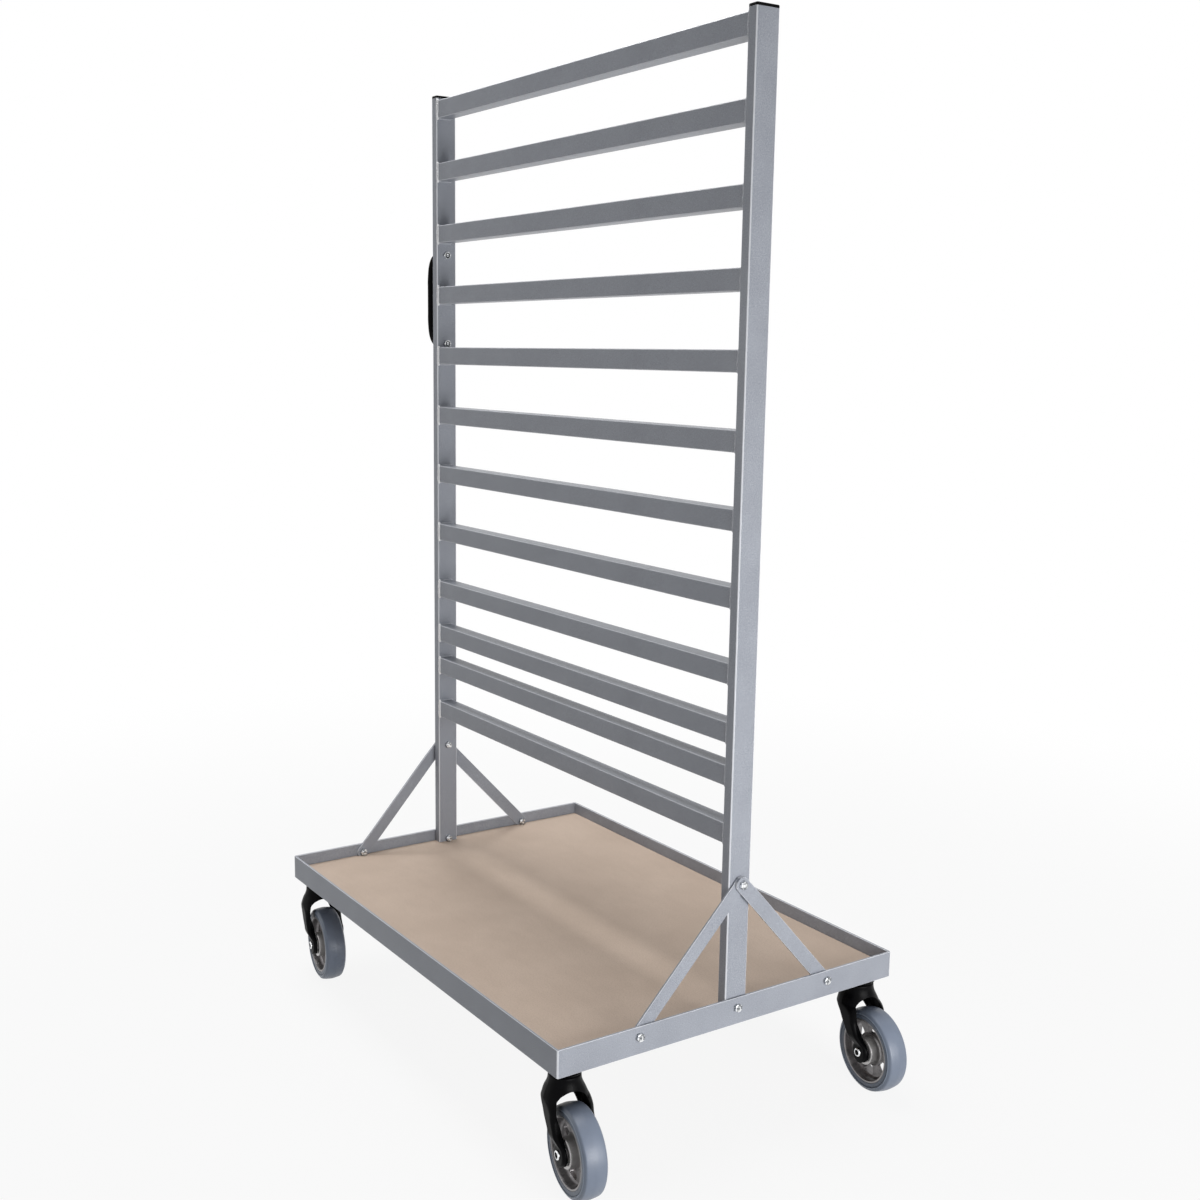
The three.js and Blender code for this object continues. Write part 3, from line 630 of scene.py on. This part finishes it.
def zinc_plate(name, seat=0.0):
    """Zinc plate. With a seat, a ring of painted shade darkens the head between that radius and its double.
    """
    made, shade, place = new_finish(name)
    cloud = noise(place, 0.0034, 3.0, 0.6)
    grain = noise(place, 0.0006, 2.0)
    # Painted glints and dark reflections: the noise swings the zinc between dark and near white at random
    # places
    colour = blend_tints(spread(cloud, 0.42, 0.56), tint(112, 115, 119), tint(240, 242, 243))
    if seat:
        radius = turning_radius(place)
        # Painted shade: a dark ring on the flat head where a recess would be
        painted_recess_shade = spread(radius, seat, seat * 1.2) * spread(radius, seat * 2.1, seat * 1.9)
        colour = blend_tints(painted_recess_shade, colour, tint(34, 35, 38))
    return finished(made, shade, colour, cloud * 0.2 + 0.22, grain, 0.15, 0.0002, Metallic=1.0)


def turned(profile, sides, looped=False):
    """Skin of (radius, height) points turned about Z."""
    return lofted([[(*around(radius, i, sides), height) for i in range(sides)] for radius, height in profile],
                  looped)


def hexagon_shape(across, low, high, chamfer_low, chamfer_high):
    """Hex prism along Z whose corners are turned off by a 30 degree chamfer at the ends asked for."""
    sides = 48
    flat = across / 2

    def reach(i):
        angle = (2 * math.pi * i / sides + math.pi / 6) % (math.pi / 3) - math.pi / 6
        return flat / math.cos(angle)

    def end(level, chamfered, inwards):
        """The rings of one end: the whole outline, or a circle and where its cone leaves the flats."""
        if not chamfered:
            return [[(*around(reach(i), i, sides), level) for i in range(sides)]]
        return [[(*around(chamfer_share * flat, i, sides), level) for i in range(sides)],
                [(*around(reach(i), i, sides), level + inwards * max(
                    least_chamfer, (reach(i) - chamfer_share * flat) * chamfer_slope)) for i in range(sides)]]

    return lofted(end(low, chamfer_low, 1) + end(high, chamfer_high, -1)[::-1])


def thread_shape(low, high):
    """Threaded end, as rings of the thread's ridges, with a chamfered point."""
    profile = [(bolt_radius * thread_tip, low)]
    for ridge in range(int((high - low) / thread_pitch)):
        base = low + ridge * thread_pitch
        profile += [(bolt_radius * share, base + thread_pitch * rise) for share, rise in thread_ridge]
    profile.append((bolt_radius * thread_run_out, high))
    return turned(profile, 28)


def collar_shape(seat, radius):
    """Washer face under a hex head."""
    return turned([(bolt_radius, seat), (radius, seat), (radius, seat + collar_height),
                   (bolt_radius, seat + collar_height)], 36)


def bolt_mesh(name, head_at, nut_at):
    """Bolt along Z: head above head_at, nut below nut_at, and the thread's end beyond it."""
    return meshed(
        name, hexagon_shape(hex_across, head_at + hair_gap, head_at + head_height, False, True),
        collar_shape(head_at, hex_across * collar_share),
        hexagon_shape(hex_across, nut_at - nut_height, nut_at, True, True),
        turned([(shank_radius, nut_at - nut_height / 2), (shank_radius, head_at + shank_lap)], 28),
        thread_shape(nut_at - nut_height - bolt_end, nut_at - nut_height / 2), crease=30)


zinc = zinc_plate("bright_zinc_plate")
outer_face = platform_length / 2
stack_face = upright_face + 2 * (hair_gap + brace_thickness)
inner_face = upright_face - upright_width
foot_bolt = bolt_mesh("foot_bolt", outer_face, foot_face)
upright_bolt = bolt_mesh("upright_bolt", outer_face, inner_face)
top_bolt = bolt_mesh("top_bolt", stack_face, inner_face)
for side_name, side in (("left", -1), ("right", 1)):
    # The bolt's length is drawn along Z and turned to point outwards along X
    outwards = Matrix(((0, 0, side, 0), (0, side, 0, 0), (-1, 0, 0, 0), (0, 0, 0, 1)))
    for node, mesh, y, height, spin in (
            (f"{side_name}_front_brace_bolt", foot_bolt, -brace_foot, bolt_height, 0.2),
            (f"{side_name}_rear_brace_bolt", foot_bolt, brace_foot, bolt_height, 0.75),
            (f"{side_name}_upright_bolt", upright_bolt, 0, bolt_height, 0.5),
            (f"{side_name}_brace_top_bolt", top_bolt, 0, brace_top_height, 0.35)):
        set_in(f"{node}_m8", mesh, zinc, node, "frame",
               Matrix.Translation((0, y, height)) @ outwards @ Matrix.Rotation(spin, 4, "Z"))


# Bow handle: one injection-moulded black bow on the left upright's outer face. Its oval grip
# swells into two round feet, which are held by hex screws from inside the upright.
handle_middle = 1.1582
handle_half = 0.0885
handle_reach = 0.043
grip_width = 0.026
grip_thickness = 0.013
foot_radius = 0.013
foot_height = 0.012
bow_steps = 88
grip_sides = 32
screw_washer = 0.0062
screw_end = 0.0295
screw_tip = 0.9
screw_point = 0.001
painted_recess_radius = 0.0028


def arch_point(share, knots):
    """Point of the smooth curve through the knots, share from 0 to 1."""
    place = share * (len(knots) - 1)
    i = min(int(place), len(knots) - 2)
    t = place - i
    p0, p1, p2, p3 = (knots[min(max(k, 0), len(knots) - 1)] for k in (i - 1, i, i + 1, i + 2))
    return 0.5 * (2 * p1 + (p2 - p0) * t + (2 * p0 - 5 * p1 + 4 * p2 - p3) * t ** 2
                  + (3 * p1 - p0 - 3 * p2 + p3) * t ** 3)


def handle_mesh():
    """Bow in the plane of X, outwards, and Z, along the upright."""
    crest = handle_reach - grip_thickness / 2
    bend = foot_radius + grip_thickness / 2
    rise = [(hair_gap, handle_half), (foot_height * 0.7, handle_half),
            (crest * 0.6, handle_half - bend * 0.3), (crest * 0.88, handle_half - bend * 1.1),
            (crest, handle_half - 2.4 * bend), (crest, handle_half * 0.25)]
    knots = [Vector((x, 0, -z)) for x, z in rise] + [Vector((x, 0, z)) for x, z in reversed(rise)]
    centres = [arch_point(i / bow_steps, knots) for i in range(bow_steps + 1)]
    rings = []
    for i, centre in enumerate(centres):
        if i in (0, bow_steps):
            tangent = Vector((1 if i == 0 else -1, 0, 0))
        else:
            tangent = (centres[i + 1] - centres[i - 1]).normalized()
        foot = max(0.0, 1 - (centre.x - hair_gap) / foot_height)
        thick = grip_thickness / 2 + (foot_radius - grip_thickness / 2) * math.sqrt(foot)
        normal = Vector((-tangent.z, 0, tangent.x))
        ring = []
        for step in range(grip_sides):
            angle = step / grip_sides * 2 * math.pi
            across, out = math.sin(angle), math.cos(angle)
            ring.append(centre + normal * thick * out + Vector((0, across * grip_width / 2, 0)))
        rings.append(ring)
    return meshed("bow_handle", lofted(rings), crease=50)


handle_place = Matrix.Translation((-upright_face, 0, handle_middle)) @ Matrix.Rotation(math.pi, 4, "Z")
set_in("bow_handle_grip", handle_mesh(), plastic, "bow_handle", "frame", handle_place)

screw = meshed("handle_screw", hexagon_shape(hex_across, hair_gap, head_height, False, True),
               collar_shape(0.0, screw_washer), turned([
                   (bolt_radius * screw_tip, -screw_end), (shank_radius, screw_point - screw_end),
                   (shank_radius, hair_gap)], 28), crease=30)
# The handle screws' heads carry a ring of painted shade where a recess would be
zinc_with_painted_recess = zinc_plate("zinc_plate_painted_recess_shade", painted_recess_radius)
# The screw's length is drawn along Z and turned to point into the upright along -X
inwards = Matrix(((0, 0, 1, 0), (0, 1, 0, 0), (-1, 0, 0, 0), (0, 0, 0, 1)))
for node, side in (("handle_screw_lower", -1), ("handle_screw_upper", 1)):
    set_in(f"{node}_m8", screw, zinc_with_painted_recess, node, "frame",
           Matrix.Translation((-inner_face, 0, handle_middle + side * handle_half)) @ inwards)


# Castor swivel heads: a pressed double dish that holds the ball race under each corner plate. It
# turns the fork about a riveted kingpin with a nut above and below, all in black electrocoat.
floor_level = -0.2163
fork_top = 0.181
head_radius = 0.028
head_top = 0.1937
plate_top = 0.1983
kingpin_radius = 0.006
kingpin_hex = 0.0165
upper_nut = 0.0079
lower_nut = (0.1692, 0.1772)
# Name, side in X and Y, heading of the fork and roll of the wheel in degrees
castors = [("front_right", 1, -1, -8.0, 23), ("rear_right", 1, 1, -5.5, -35),
           ("rear_left", -1, 1, -6.2, 8), ("front_left", -1, -1, -7.2, -20)]
# How far the dish lies inside its full radius, and its height from the base or from the top
dish_base = [(0.006, 0.0), (0.003, 0.0006), (0.0008, 0.002), (0.0, 0.004), (0.0002, 0.0053), (0.0016, 0.0059),
             (0.0016, 0.0066), (0.0002, 0.0072)]
dish_crown = [(0.0, 0.0025), (0.0009, 0.0008), (0.0028, 0.0)]
# Share of the kingpin's radius and height, from its lower end to its upper one
kingpin_ends = [(0.8, 0.167), (0.95, 0.168), (1, 0.207), (0.75, 0.2084)]


def black_coat():
    made, shade, place = new_finish("black_electrocoat")
    cloud = noise(place, 0.018, 4.0, 0.55)
    grain = noise(place, 0.0009, 2.0, 0.6)
    colour = blend_tints(spread(cloud, 0.35, 0.75), tint(8, 8, 10), tint(15, 15, 17))
    return finished(made, shade, colour, cloud * 0.16 + 0.3, grain + cloud * 0.6, 0.18, 0.0003,
                    Specular_IOR_Level=0.06)


def head_mesh():
    low = fork_top + hair_gap
    dish = [(kingpin_radius, low)] + [(head_radius - inside, low + rise) for inside, rise in dish_base]
    dish += [(head_radius - inside, head_top - drop) for inside, drop in dish_crown]
    dish.append((kingpin_radius, head_top))
    pin = [(kingpin_radius * share, height) for share, height in kingpin_ends]
    return meshed("swivel_head", turned(dish, 72), turned(pin, 32),
                  hexagon_shape(kingpin_hex, *lower_nut, True, True),
                  hexagon_shape(kingpin_hex, plate_top, plate_top + upper_nut, True, True), crease=32)


black = black_coat()
head = head_mesh()
castor_places = {}
for name, side_x, side_y, heading, _ in castors:
    stand = Matrix.Translation((side_x * kingpin_place[0], side_y * kingpin_place[1], floor_level))
    castor_places[name] = stand @ Matrix.Rotation(math.radians(heading), 4, "Z")
    set_in(f"{name}_swivel_race", head, black, f"{name}_swivel_head", "frame", stand)


# Castor forks: each is deep drawn from 3.5 mm sheet into a round bell that runs out into two
# channelled legs, with an arch over the wheel before and behind. The legs' ends are pressed flat
# and inwards to clamp the axle. The fork is coated in black with the swivel head.
castor_trail = 0.046
wheel_radius = 0.0725
fork_sheet = 0.0035
fork_half_width = 0.0376
fork_end_half_width = 0.032
fork_end_radius = 0.019
fork_end_round = 0.006
crown_radius = 0.026
bell_height = 0.033
bell_flare = 0.51
bell_power = 2.2
bell_drops = (0.74, 0.48, 0.24, 0.06)
least_half = 0.0003
past_all = 0.09
past_top = 0.005
arch_half_width = 0.0243
arch_top = 0.163
arch_spring = 0.138
axle_radius = 0.006
eye_steps = 10
eye_start = 0.44
eye_sweep = 0.64
# Levels of the legs: share of the height from axle to bell, leading and trailing edge as shares of
# the trail, and the corner radius and half depth as shares of the fork's half width
leg_shares = [(0.32, 0.4, 1.04, 0.16, 1), (0.45, 0.23, 0.88, 0.17, 1), (0.62, 0.0, 0.76, 0.22, 1),
              (0.77, -0.21, 0.78, 0.34, 1), (0.87, -0.46, 0.81, 0.55, 1), (0.95, -0.68, 0.82, 0.82, 0.993),
              (1, -0.745, 0.8, 1, 0.967)]


def fork_levels(inset_by):
    """(leading, trailing, half depth, corner radius, level) of the fork from the axle to the crown."""
    leg_height = fork_top - bell_height - wheel_radius
    end_radius = fork_end_radius - inset_by
    levels = []
    for i in range(eye_steps + 1):
        angle = (i / eye_steps) * math.pi * eye_sweep - math.pi * eye_start
        half = end_radius * math.cos(angle) + inset_by
        levels.append((castor_trail - half, castor_trail + half, fork_end_half_width, fork_end_round,
                       wheel_radius + end_radius * math.sin(angle)))
    for share, leading, trailing, corner, side in leg_shares:
        levels.append((leading * castor_trail, trailing * castor_trail, side * fork_half_width,
                       corner * side * fork_half_width, wheel_radius + share * leg_height))
    for drop in bell_drops:
        if drop * bell_height > inset_by:
            reach = crown_radius * (1 + bell_flare * drop ** bell_power)
            levels.append((-reach, reach, reach, reach, fork_top - drop * bell_height))
    crown = crown_radius - fork_sheet / 2
    levels.append((-crown, crown, crown, crown, fork_top - inset_by))
    return levels


def fork_skin(inset_by):
    """Skin over the levels, smoothly curved above the eye of the axle."""
    levels = [Vector(level) for level in fork_levels(inset_by)]
    spans = len(levels) - 1
    upper = [arch_point((eye_steps + i / 4) / spans, levels) for i in range(1, (spans - eye_steps) * 4 + 1)]
    rings = []
    for leading, trailing, half, radius, level in levels[:eye_steps + 1] + upper:
        width = trailing - leading - 2 * inset_by
        depth = 2 * (half - inset_by)
        corner = min(max(radius - inset_by, least_half), width / 2 - least_half, depth / 2 - least_half)
        middle = (leading + trailing) / 2
        rings.append([(x + middle, y, level) for x, y in rectangle(width, depth, corner, 7)])
    return lofted(rings)


def prism_shape(outline, low, high, axis="Z"):
    """Prism of an outline drawn along Z, or along X or Y with the outline's second part upright."""
    order = {"Z": (0, 1, 2), "X": (2, 0, 1), "Y": (0, 2, 1)}[axis]
    return lofted([[tuple((u, v, level)[part] for part in order) for u, v in outline]
                   for level in (low, high)])


def carved(name, shape, cutters, crease=34):
    """Mesh of a shape with other shapes cut out of it."""
    blank = new_object(name, meshed(name, shape))
    tools = []
    for i, cutter in enumerate(cutters):
        tool = new_object(f"{name}_cutter_{i}", meshed(f"{name}_cutter_{i}", cutter))
        tools.append(tool)
        cut = blank.modifiers.new(f"cut_{i}", "BOOLEAN")
        cut.operation = "DIFFERENCE"
        cut.solver = "EXACT"
        cut.object = tool
    ready = blank.evaluated_get(bpy.context.evaluated_depsgraph_get())
    made = bpy.data.meshes.new_from_object(ready)
    made.name = name
    for spent in [blank] + tools:
        old = spent.data
        bpy.data.objects.remove(spent)
        bpy.data.meshes.remove(old)
    made.materials.clear()
    return creased(made, crease)


# Edges of the arches from the leg up to the crest, as shares of the half width and of the rise
trailing_edge = [(1, -1.2), (1.07, -0.88), (1.17, -0.56), (1.215, -0.24), (1.18, 0.08), (1.03, 0.4),
                 (0.78, 0.66), (0.47, 0.83), (0.2, 0.91), (0, 0.92)]
leading_edge = [(1, -1.2), (1.03, -0.8), (0.97, -0.35), (0.87, 0), (0.8, 0.38), (0.62, 0.71), (0.33, 0.92),
                (0, 1)]


def arch_shape(edge, low, high):
    """Prism along X under an arch that spans the wheel, its legs open to the floor."""
    side = [Vector((arch_half_width * across, arch_spring + (arch_top - arch_spring) * rise))
            for across, rise in edge]
    knots = side + [Vector((-p.x, p.y)) for p in reversed(side[:-1])]
    count = 4 * (len(knots) - 1)
    feet = [Vector((-side[0].x, 0)), Vector((side[0].x, 0))]
    return prism_shape(feet + [arch_point(i / count, knots) for i in range(count + 1)], low, high, "X")


fork = carved("castor_fork", fork_skin(0), [
    fork_skin(fork_sheet), arch_shape(leading_edge, -past_all, castor_trail / 2),
    arch_shape(trailing_edge, castor_trail / 4, past_all),
    prism_shape(circle(kingpin_radius + hair_gap, 32), arch_top, fork_top + past_top),
    prism_shape(circle(axle_radius + hair_gap, 32, castor_trail, wheel_radius), -past_all, past_all, "Y")])
for name, *_ in castors:
    set_in(f"{name}_fork_pressing", fork, black, f"{name}_fork", f"{name}_fork_body",
           castor_places[name])


# Castor axles: a steel tube through the fork whose ends are flared over the legs, with spacer
# sleeves that keep the hub in the middle. They are nickel bright, with painted shade darkening the bore.
hub_half = 0.022
axle_fit = 0.0002
sleeve_radius = 0.01
sleeve_chamfer = 0.0003
# Radius of the flared end and its height over the leg, from the leg over the rim into the bore
axle_flare = [(0.0071, 0.0), (0.0075, 0.0005), (0.0075, 0.0015), (0.0071, 0.0024), (0.0063, 0.003),
              (0.0056, 0.0032), (0.0049, 0.003), (0.0041, 0.0023), (0.0036, 0.0012), (0.0035, -0.0006)]


def lathe_marks(radius, marks):
    """Fine turned rings, so many marks to a metre of radius."""
    return radius.node("ShaderNodeTexNoise", {"noise_dimensions": "1D"},
                       {"W": radius, "Scale": marks, "Detail": 2.0})


def axle_steel():
    made, shade, place = new_finish("bright_axle_steel")
    radius = turning_radius(place)
    lathe = lathe_marks(radius, 3200.0)
    stain = noise(place, 0.003, 3.0)
    # Painted shade: inside the bore the steel is coloured near black and not metallic
    bore_shade = spread(radius, 0.0052, 0.0046)
    colour = blend_tints(spread(stain, 0.3, 0.7), tint(222, 224, 226), tint(238, 239, 240))
    colour = blend_tints(bore_shade, colour, tint(20, 20, 22))
    return finished(made, shade, colour, stain * 0.12 + 0.16, lathe, 0.1, 0.0002, Metallic=1.0 - bore_shade)


def mirrored(side):
    """A whole profile from its upper half, which starts in the middle."""
    return [(radius, -height) for radius, height in reversed(side[1:])] + side


def axle_mesh():
    leg_outer, leg_inner = fork_end_half_width + axle_fit, fork_end_half_width - fork_sheet - axle_fit
    hub_face = hub_half + axle_fit
    half = [(axle_radius, 0.0), (axle_radius, hub_face), (sleeve_radius - sleeve_chamfer, hub_face),
            (sleeve_radius, hub_face + sleeve_chamfer), (sleeve_radius, leg_inner - sleeve_chamfer),
            (sleeve_radius - sleeve_chamfer, leg_inner), (axle_radius, leg_inner), (axle_radius, leg_outer)]
    half += [(radius, leg_outer + height) for radius, height in axle_flare]
    return meshed("castor_axle", turned(mirrored(half), 48), crease=40)


axle = axle_mesh()
axle_finish = axle_steel()
lie_across = Matrix.Translation((castor_trail, 0, wheel_radius)) @ Matrix.Rotation(math.pi / 2, 4, "X")
for name, *_ in castors:
    set_in(f"{name}_axle_tube", axle, axle_finish, f"{name}_axle", f"{name}_fork_body",
           castor_places[name] @ lie_across)


# Castor wheel cores: die-cast aluminium, a barrel hub and a rim band joined by a dished web with
# six rounded windows. The cast faces are dull brownish grey; the lips of hub and band are turned
# bright where the tyre is moulded on and the bearing is pressed in.
window_count = 6
window_inner = 0.0295
window_outer = 0.0465
window_half_angle = 0.27
window_rounds = (0.003, 0.0022)
window_cut = 0.012
# Radius and distance from the middle of half the wheel's section, from the rim band to the bore
core_side = [(0.0557, 0.0), (0.0557, 0.0186), (0.0555, 0.0190), (0.0550, 0.0192), (0.0536, 0.0192),
             (0.0528, 0.0190), (0.0520, 0.0182), (0.0512, 0.0150), (0.0508, 0.0095), (0.0502, 0.0066),
             (0.0489, 0.0044), (0.0468, 0.0033), (0.0430, 0.0029), (0.0350, 0.0029), (0.0300, 0.0030),
             (0.0283, 0.0034), (0.0267, 0.0044), (0.0256, 0.0062), (0.0249, 0.0090), (0.0244, 0.0150),
             (0.0240, 0.0205), (0.0236, 0.0214), (0.0228, 0.0219), (0.0216, hub_half), (0.0182, hub_half),
             (0.0178, 0.0216), (0.0177, 0.0206), (0.0112, 0.0206), (0.0110, 0.0210), (0.0108, 0.0218),
             (0.0102, hub_half), (axle_radius + hair_gap, hub_half)]


def cast_aluminium():
    made, shade, place = new_finish("die_cast_aluminium")
    radius = turning_radius(place)
    off_middle = shade.math("ABSOLUTE", shade.node("ShaderNodeSeparateXYZ", {}, {0: place}, "Z"), 0.0)
    cloud = noise(place, 0.012, 5.0, 0.6)
    grain = noise(place, 0.0008, 3.0, 0.65)
    lathe = lathe_marks(radius, 2600.0)
    lip = spread(off_middle, 0.0188, 0.0194) * spread(radius, 0.0505, 0.0512) * 0.45
    face = spread(off_middle, 0.0208, 0.0214) * spread(radius, 0.0245, 0.0225)
    bright = shade.math("MAXIMUM", lip, face)
    colour = blend_tints(spread(cloud, 0.3, 0.7), tint(108, 106, 107), tint(140, 137, 138))
    colour = blend_tints(spread(grain, 0.55, 0.8) * 0.4, colour, tint(168, 166, 166))
    # Painted light: the hub's barrel is coloured paler, standing in for light that falls on it
    barrel = spread(radius, 0.028, 0.0262)
    colour = blend_tints(shade.math("MAXIMUM", bright, barrel * 0.9), colour, tint(190, 188, 187))
    return finished(made, shade, colour, cloud * 0.14 + (0.3 - bright * 0.1),
                    grain * (1 - bright) + lathe * bright * 0.4, 0.3, 0.0003, Metallic=0.6)


def core_mesh():
    windows = []
    for i in range(window_count):
        middle = i * 2 * math.pi / window_count
        corners = []
        for radius, corner, turn in ((window_outer, window_rounds[0], 1),
                                     (window_inner, window_rounds[1], -1)):
            for span in (-1, -0.5, 0, 0.5, 1):
                angle = middle + turn * span * window_half_angle
                corners.append((radius * math.cos(angle), radius * math.sin(angle),
                                corner if abs(span) == 1 else 0))
        windows.append(prism_shape(rounded(corners, 5), -window_cut, window_cut))
    return carved("castor_wheel_core", turned(mirrored(core_side), 96, looped=True), windows, 38)


core = core_mesh()
aluminium = cast_aluminium()
for name, *_, roll in castors:
    set_in(f"{name}_wheel_casting", core, aluminium, f"{name}_wheel_core", f"{name}_wheel_body",
           castor_places[name] @ lie_across @ Matrix.Rotation(math.radians(roll), 4, "Z"))


# Castor tyres: blue-grey elastic rubber moulded onto the core. A plain crowned tread rolls over
# round shoulders into the side, where a groove sets off the bead beside the aluminium band. The
# tread and the ridge beside the groove carry painted highlights, and the groove painted shade.
tyre_sides = 112
# Radius and distance from the middle of each ring, from the bead to the crown of the tread
tyre_rings = [(0.0559, 0.0190), (0.0563, 0.0194), (0.0575, 0.0195), (0.0612, 0.0195), (0.0618, 0.0191),
              (0.0623, 0.0187), (0.0629, 0.0189), (0.0634, 0.0198), (0.0639, 0.0204), (0.0645, 0.0205),
              (0.0651, 0.0202), (0.0664, 0.0194), (0.0680, 0.0184), (0.0690, 0.0177), (0.0698, 0.0169),
              (0.0703, 0.0160), (0.0706, 0.0150), (0.0711, 0.0125), (0.0716, 0.0095), (0.0720, 0.0060),
              (0.0724, 0.0025), (wheel_radius, 0.0)]


def grey_rubber():
    made, shade, place = new_finish("blue_grey_rubber")
    radius = turning_radius(place)
    cloud = noise(place, 0.03, 4.0, 0.6)
    grain = noise(place, 0.0010, 3.0, 0.7)
    colour = blend_tints(spread(cloud, 0.3, 0.7), tint(101, 111, 127), tint(109, 119, 135))
    # Painted highlight: lighter over the shoulders and the tread
    colour = blend_tints(spread(radius, 0.066, 0.0712) * 0.4, colour, tint(124, 132, 148))
    # Painted highlight: the ridge beside the groove is coloured lighter
    ridge = spread(radius, 0.0632, 0.0642) * spread(radius, 0.0664, 0.0650)
    colour = blend_tints(ridge * 0.7, colour, tint(146, 158, 176))
    # Painted shade: the groove is coloured darker
    groove_shade = spread(radius, 0.0613, 0.0620) * spread(radius, 0.0632, 0.0626)
    colour = blend_tints(groove_shade * 0.7, colour, tint(70, 79, 94))
    colour = blend_tints(spread(grain, 0.56, 0.8) * 0.25, colour, tint(138, 147, 162))
    return finished(made, shade, colour, cloud * 0.1 + (grain * 0.08 + 0.3), grain + cloud * 0.5,
                    0.22, 0.0003, Specular_IOR_Level=0.5)


def tyre_mesh():
    knots = [Vector(ring) for ring in tyre_rings]
    count = 2 * (len(knots) - 1)
    side = [tyre_rings[-1]] + [tuple(arch_point(i / count, knots)) for i in reversed(range(count))]
    return meshed("castor_tyre", turned(mirrored(side), tyre_sides, looped=True), crease=60)


tyre = tyre_mesh()
rubber = grey_rubber()
for name, *_ in castors:
    set_in(f"{name}_rubber_tyre", tyre, rubber, f"{name}_tyre", f"{name}_wheel_body",
           castor_places[name] @ lie_across)


# Studio: a pale matt floor that fades into a white surround and keeps the trolley's soft shadow,
# three soft lamps, and a camera that stands where the photograph was taken from.
floor_reach = 30
white = (1, 1, 1, 1)


def seen_share(shade):
    """1 for what the eye sees, also in a reflection or through glass, and 0 for the light it gives."""
    seen, reflected, through = (shade.node("ShaderNodeLightPath", output=output) for output in (
        "Is Camera Ray", "Is Glossy Ray", "Is Transmission Ray"))
    return shade.math("MINIMUM", seen + reflected + through, 1.0)


def studio_floor():
    made, shade, place = new_finish("pale_studio_floor")
    away = spread(turning_radius(place), 0.8, 3.0)
    matt = shade.node("ShaderNodeBsdfDiffuse", {}, {"Color": (0.5, 0.5, 0.5, 1)})
    bright = shade.node("ShaderNodeEmission", {}, {"Color": white, "Strength": 1.0})
    shade.node("ShaderNodeOutputMaterial", {}, {"Surface": shade.node("ShaderNodeMixShader", {}, {
        0: seen_share(shade) * (away * 0.1 + 0.9), 1: matt, 2: bright})})
    return made


sheet = bpy.data.meshes.new("studio_floor")
sheet.from_pydata([(x * floor_reach, y * floor_reach, floor_level)
                   for x, y in ((-1, -1), (1, -1), (1, 1), (-1, 1))], [], [(0, 1, 2, 3)])
sheet.materials.append(studio_floor())
ground = new_object("studio_floor", sheet)

world = bpy.data.worlds.new("studio_surround")
bpy.context.scene.world = world
world.use_nodes = True
world.node_tree.nodes.clear()
surround = Shade(world.node_tree)
glow = surround.node("ShaderNodeBackground", {}, {"Color": white, "Strength": 0.14})
backdrop = surround.node("ShaderNodeBackground", {}, {"Color": white, "Strength": 1.0})
surround.node("ShaderNodeOutputWorld", {}, {"Surface": surround.node("ShaderNodeMixShader", {}, {
    0: seen_share(surround), 1: glow, 2: backdrop})})


def softbox(name, place, aim, size, watts):
    lamp = bpy.data.lights.new(name, "AREA")
    lamp.shape = "RECTANGLE"
    lamp.size, lamp.size_y = size
    lamp.energy = watts
    made = new_object(name, lamp)
    made.location = place
    made.rotation_euler = (Vector(aim) - Vector(place)).to_track_quat("-Z", "Y").to_euler()
    made.visible_camera = False


softbox("end_softbox", (2.7, 0.05, 0.4), (0.5, 0, 0.3), (1.6, 1.2), 53)
softbox("top_softbox", (-1.1, 0.0, 3.8), (-0.1, 0, 0), (1.65, 2.8), 129)
softbox("front_softbox", (-1.9, -2.6, 1.05), (-0.4, 0, 0.8), (0.8, 0.8), 8)

camera = bpy.data.cameras.new("photo_camera")
camera.sensor_width = 36
camera.lens = 43.5
camera.shift_x = 0.0401
camera.shift_y = 0.0056
eye = new_object("photo_camera", camera)
eye.location = (2.1916, -1.46276, 1.05946)
eye.rotation_euler = (1.395482, -0.009436, 0.997875)
bpy.context.scene.camera = eye
bpy.context.scene.view_settings.view_transform = "Standard"
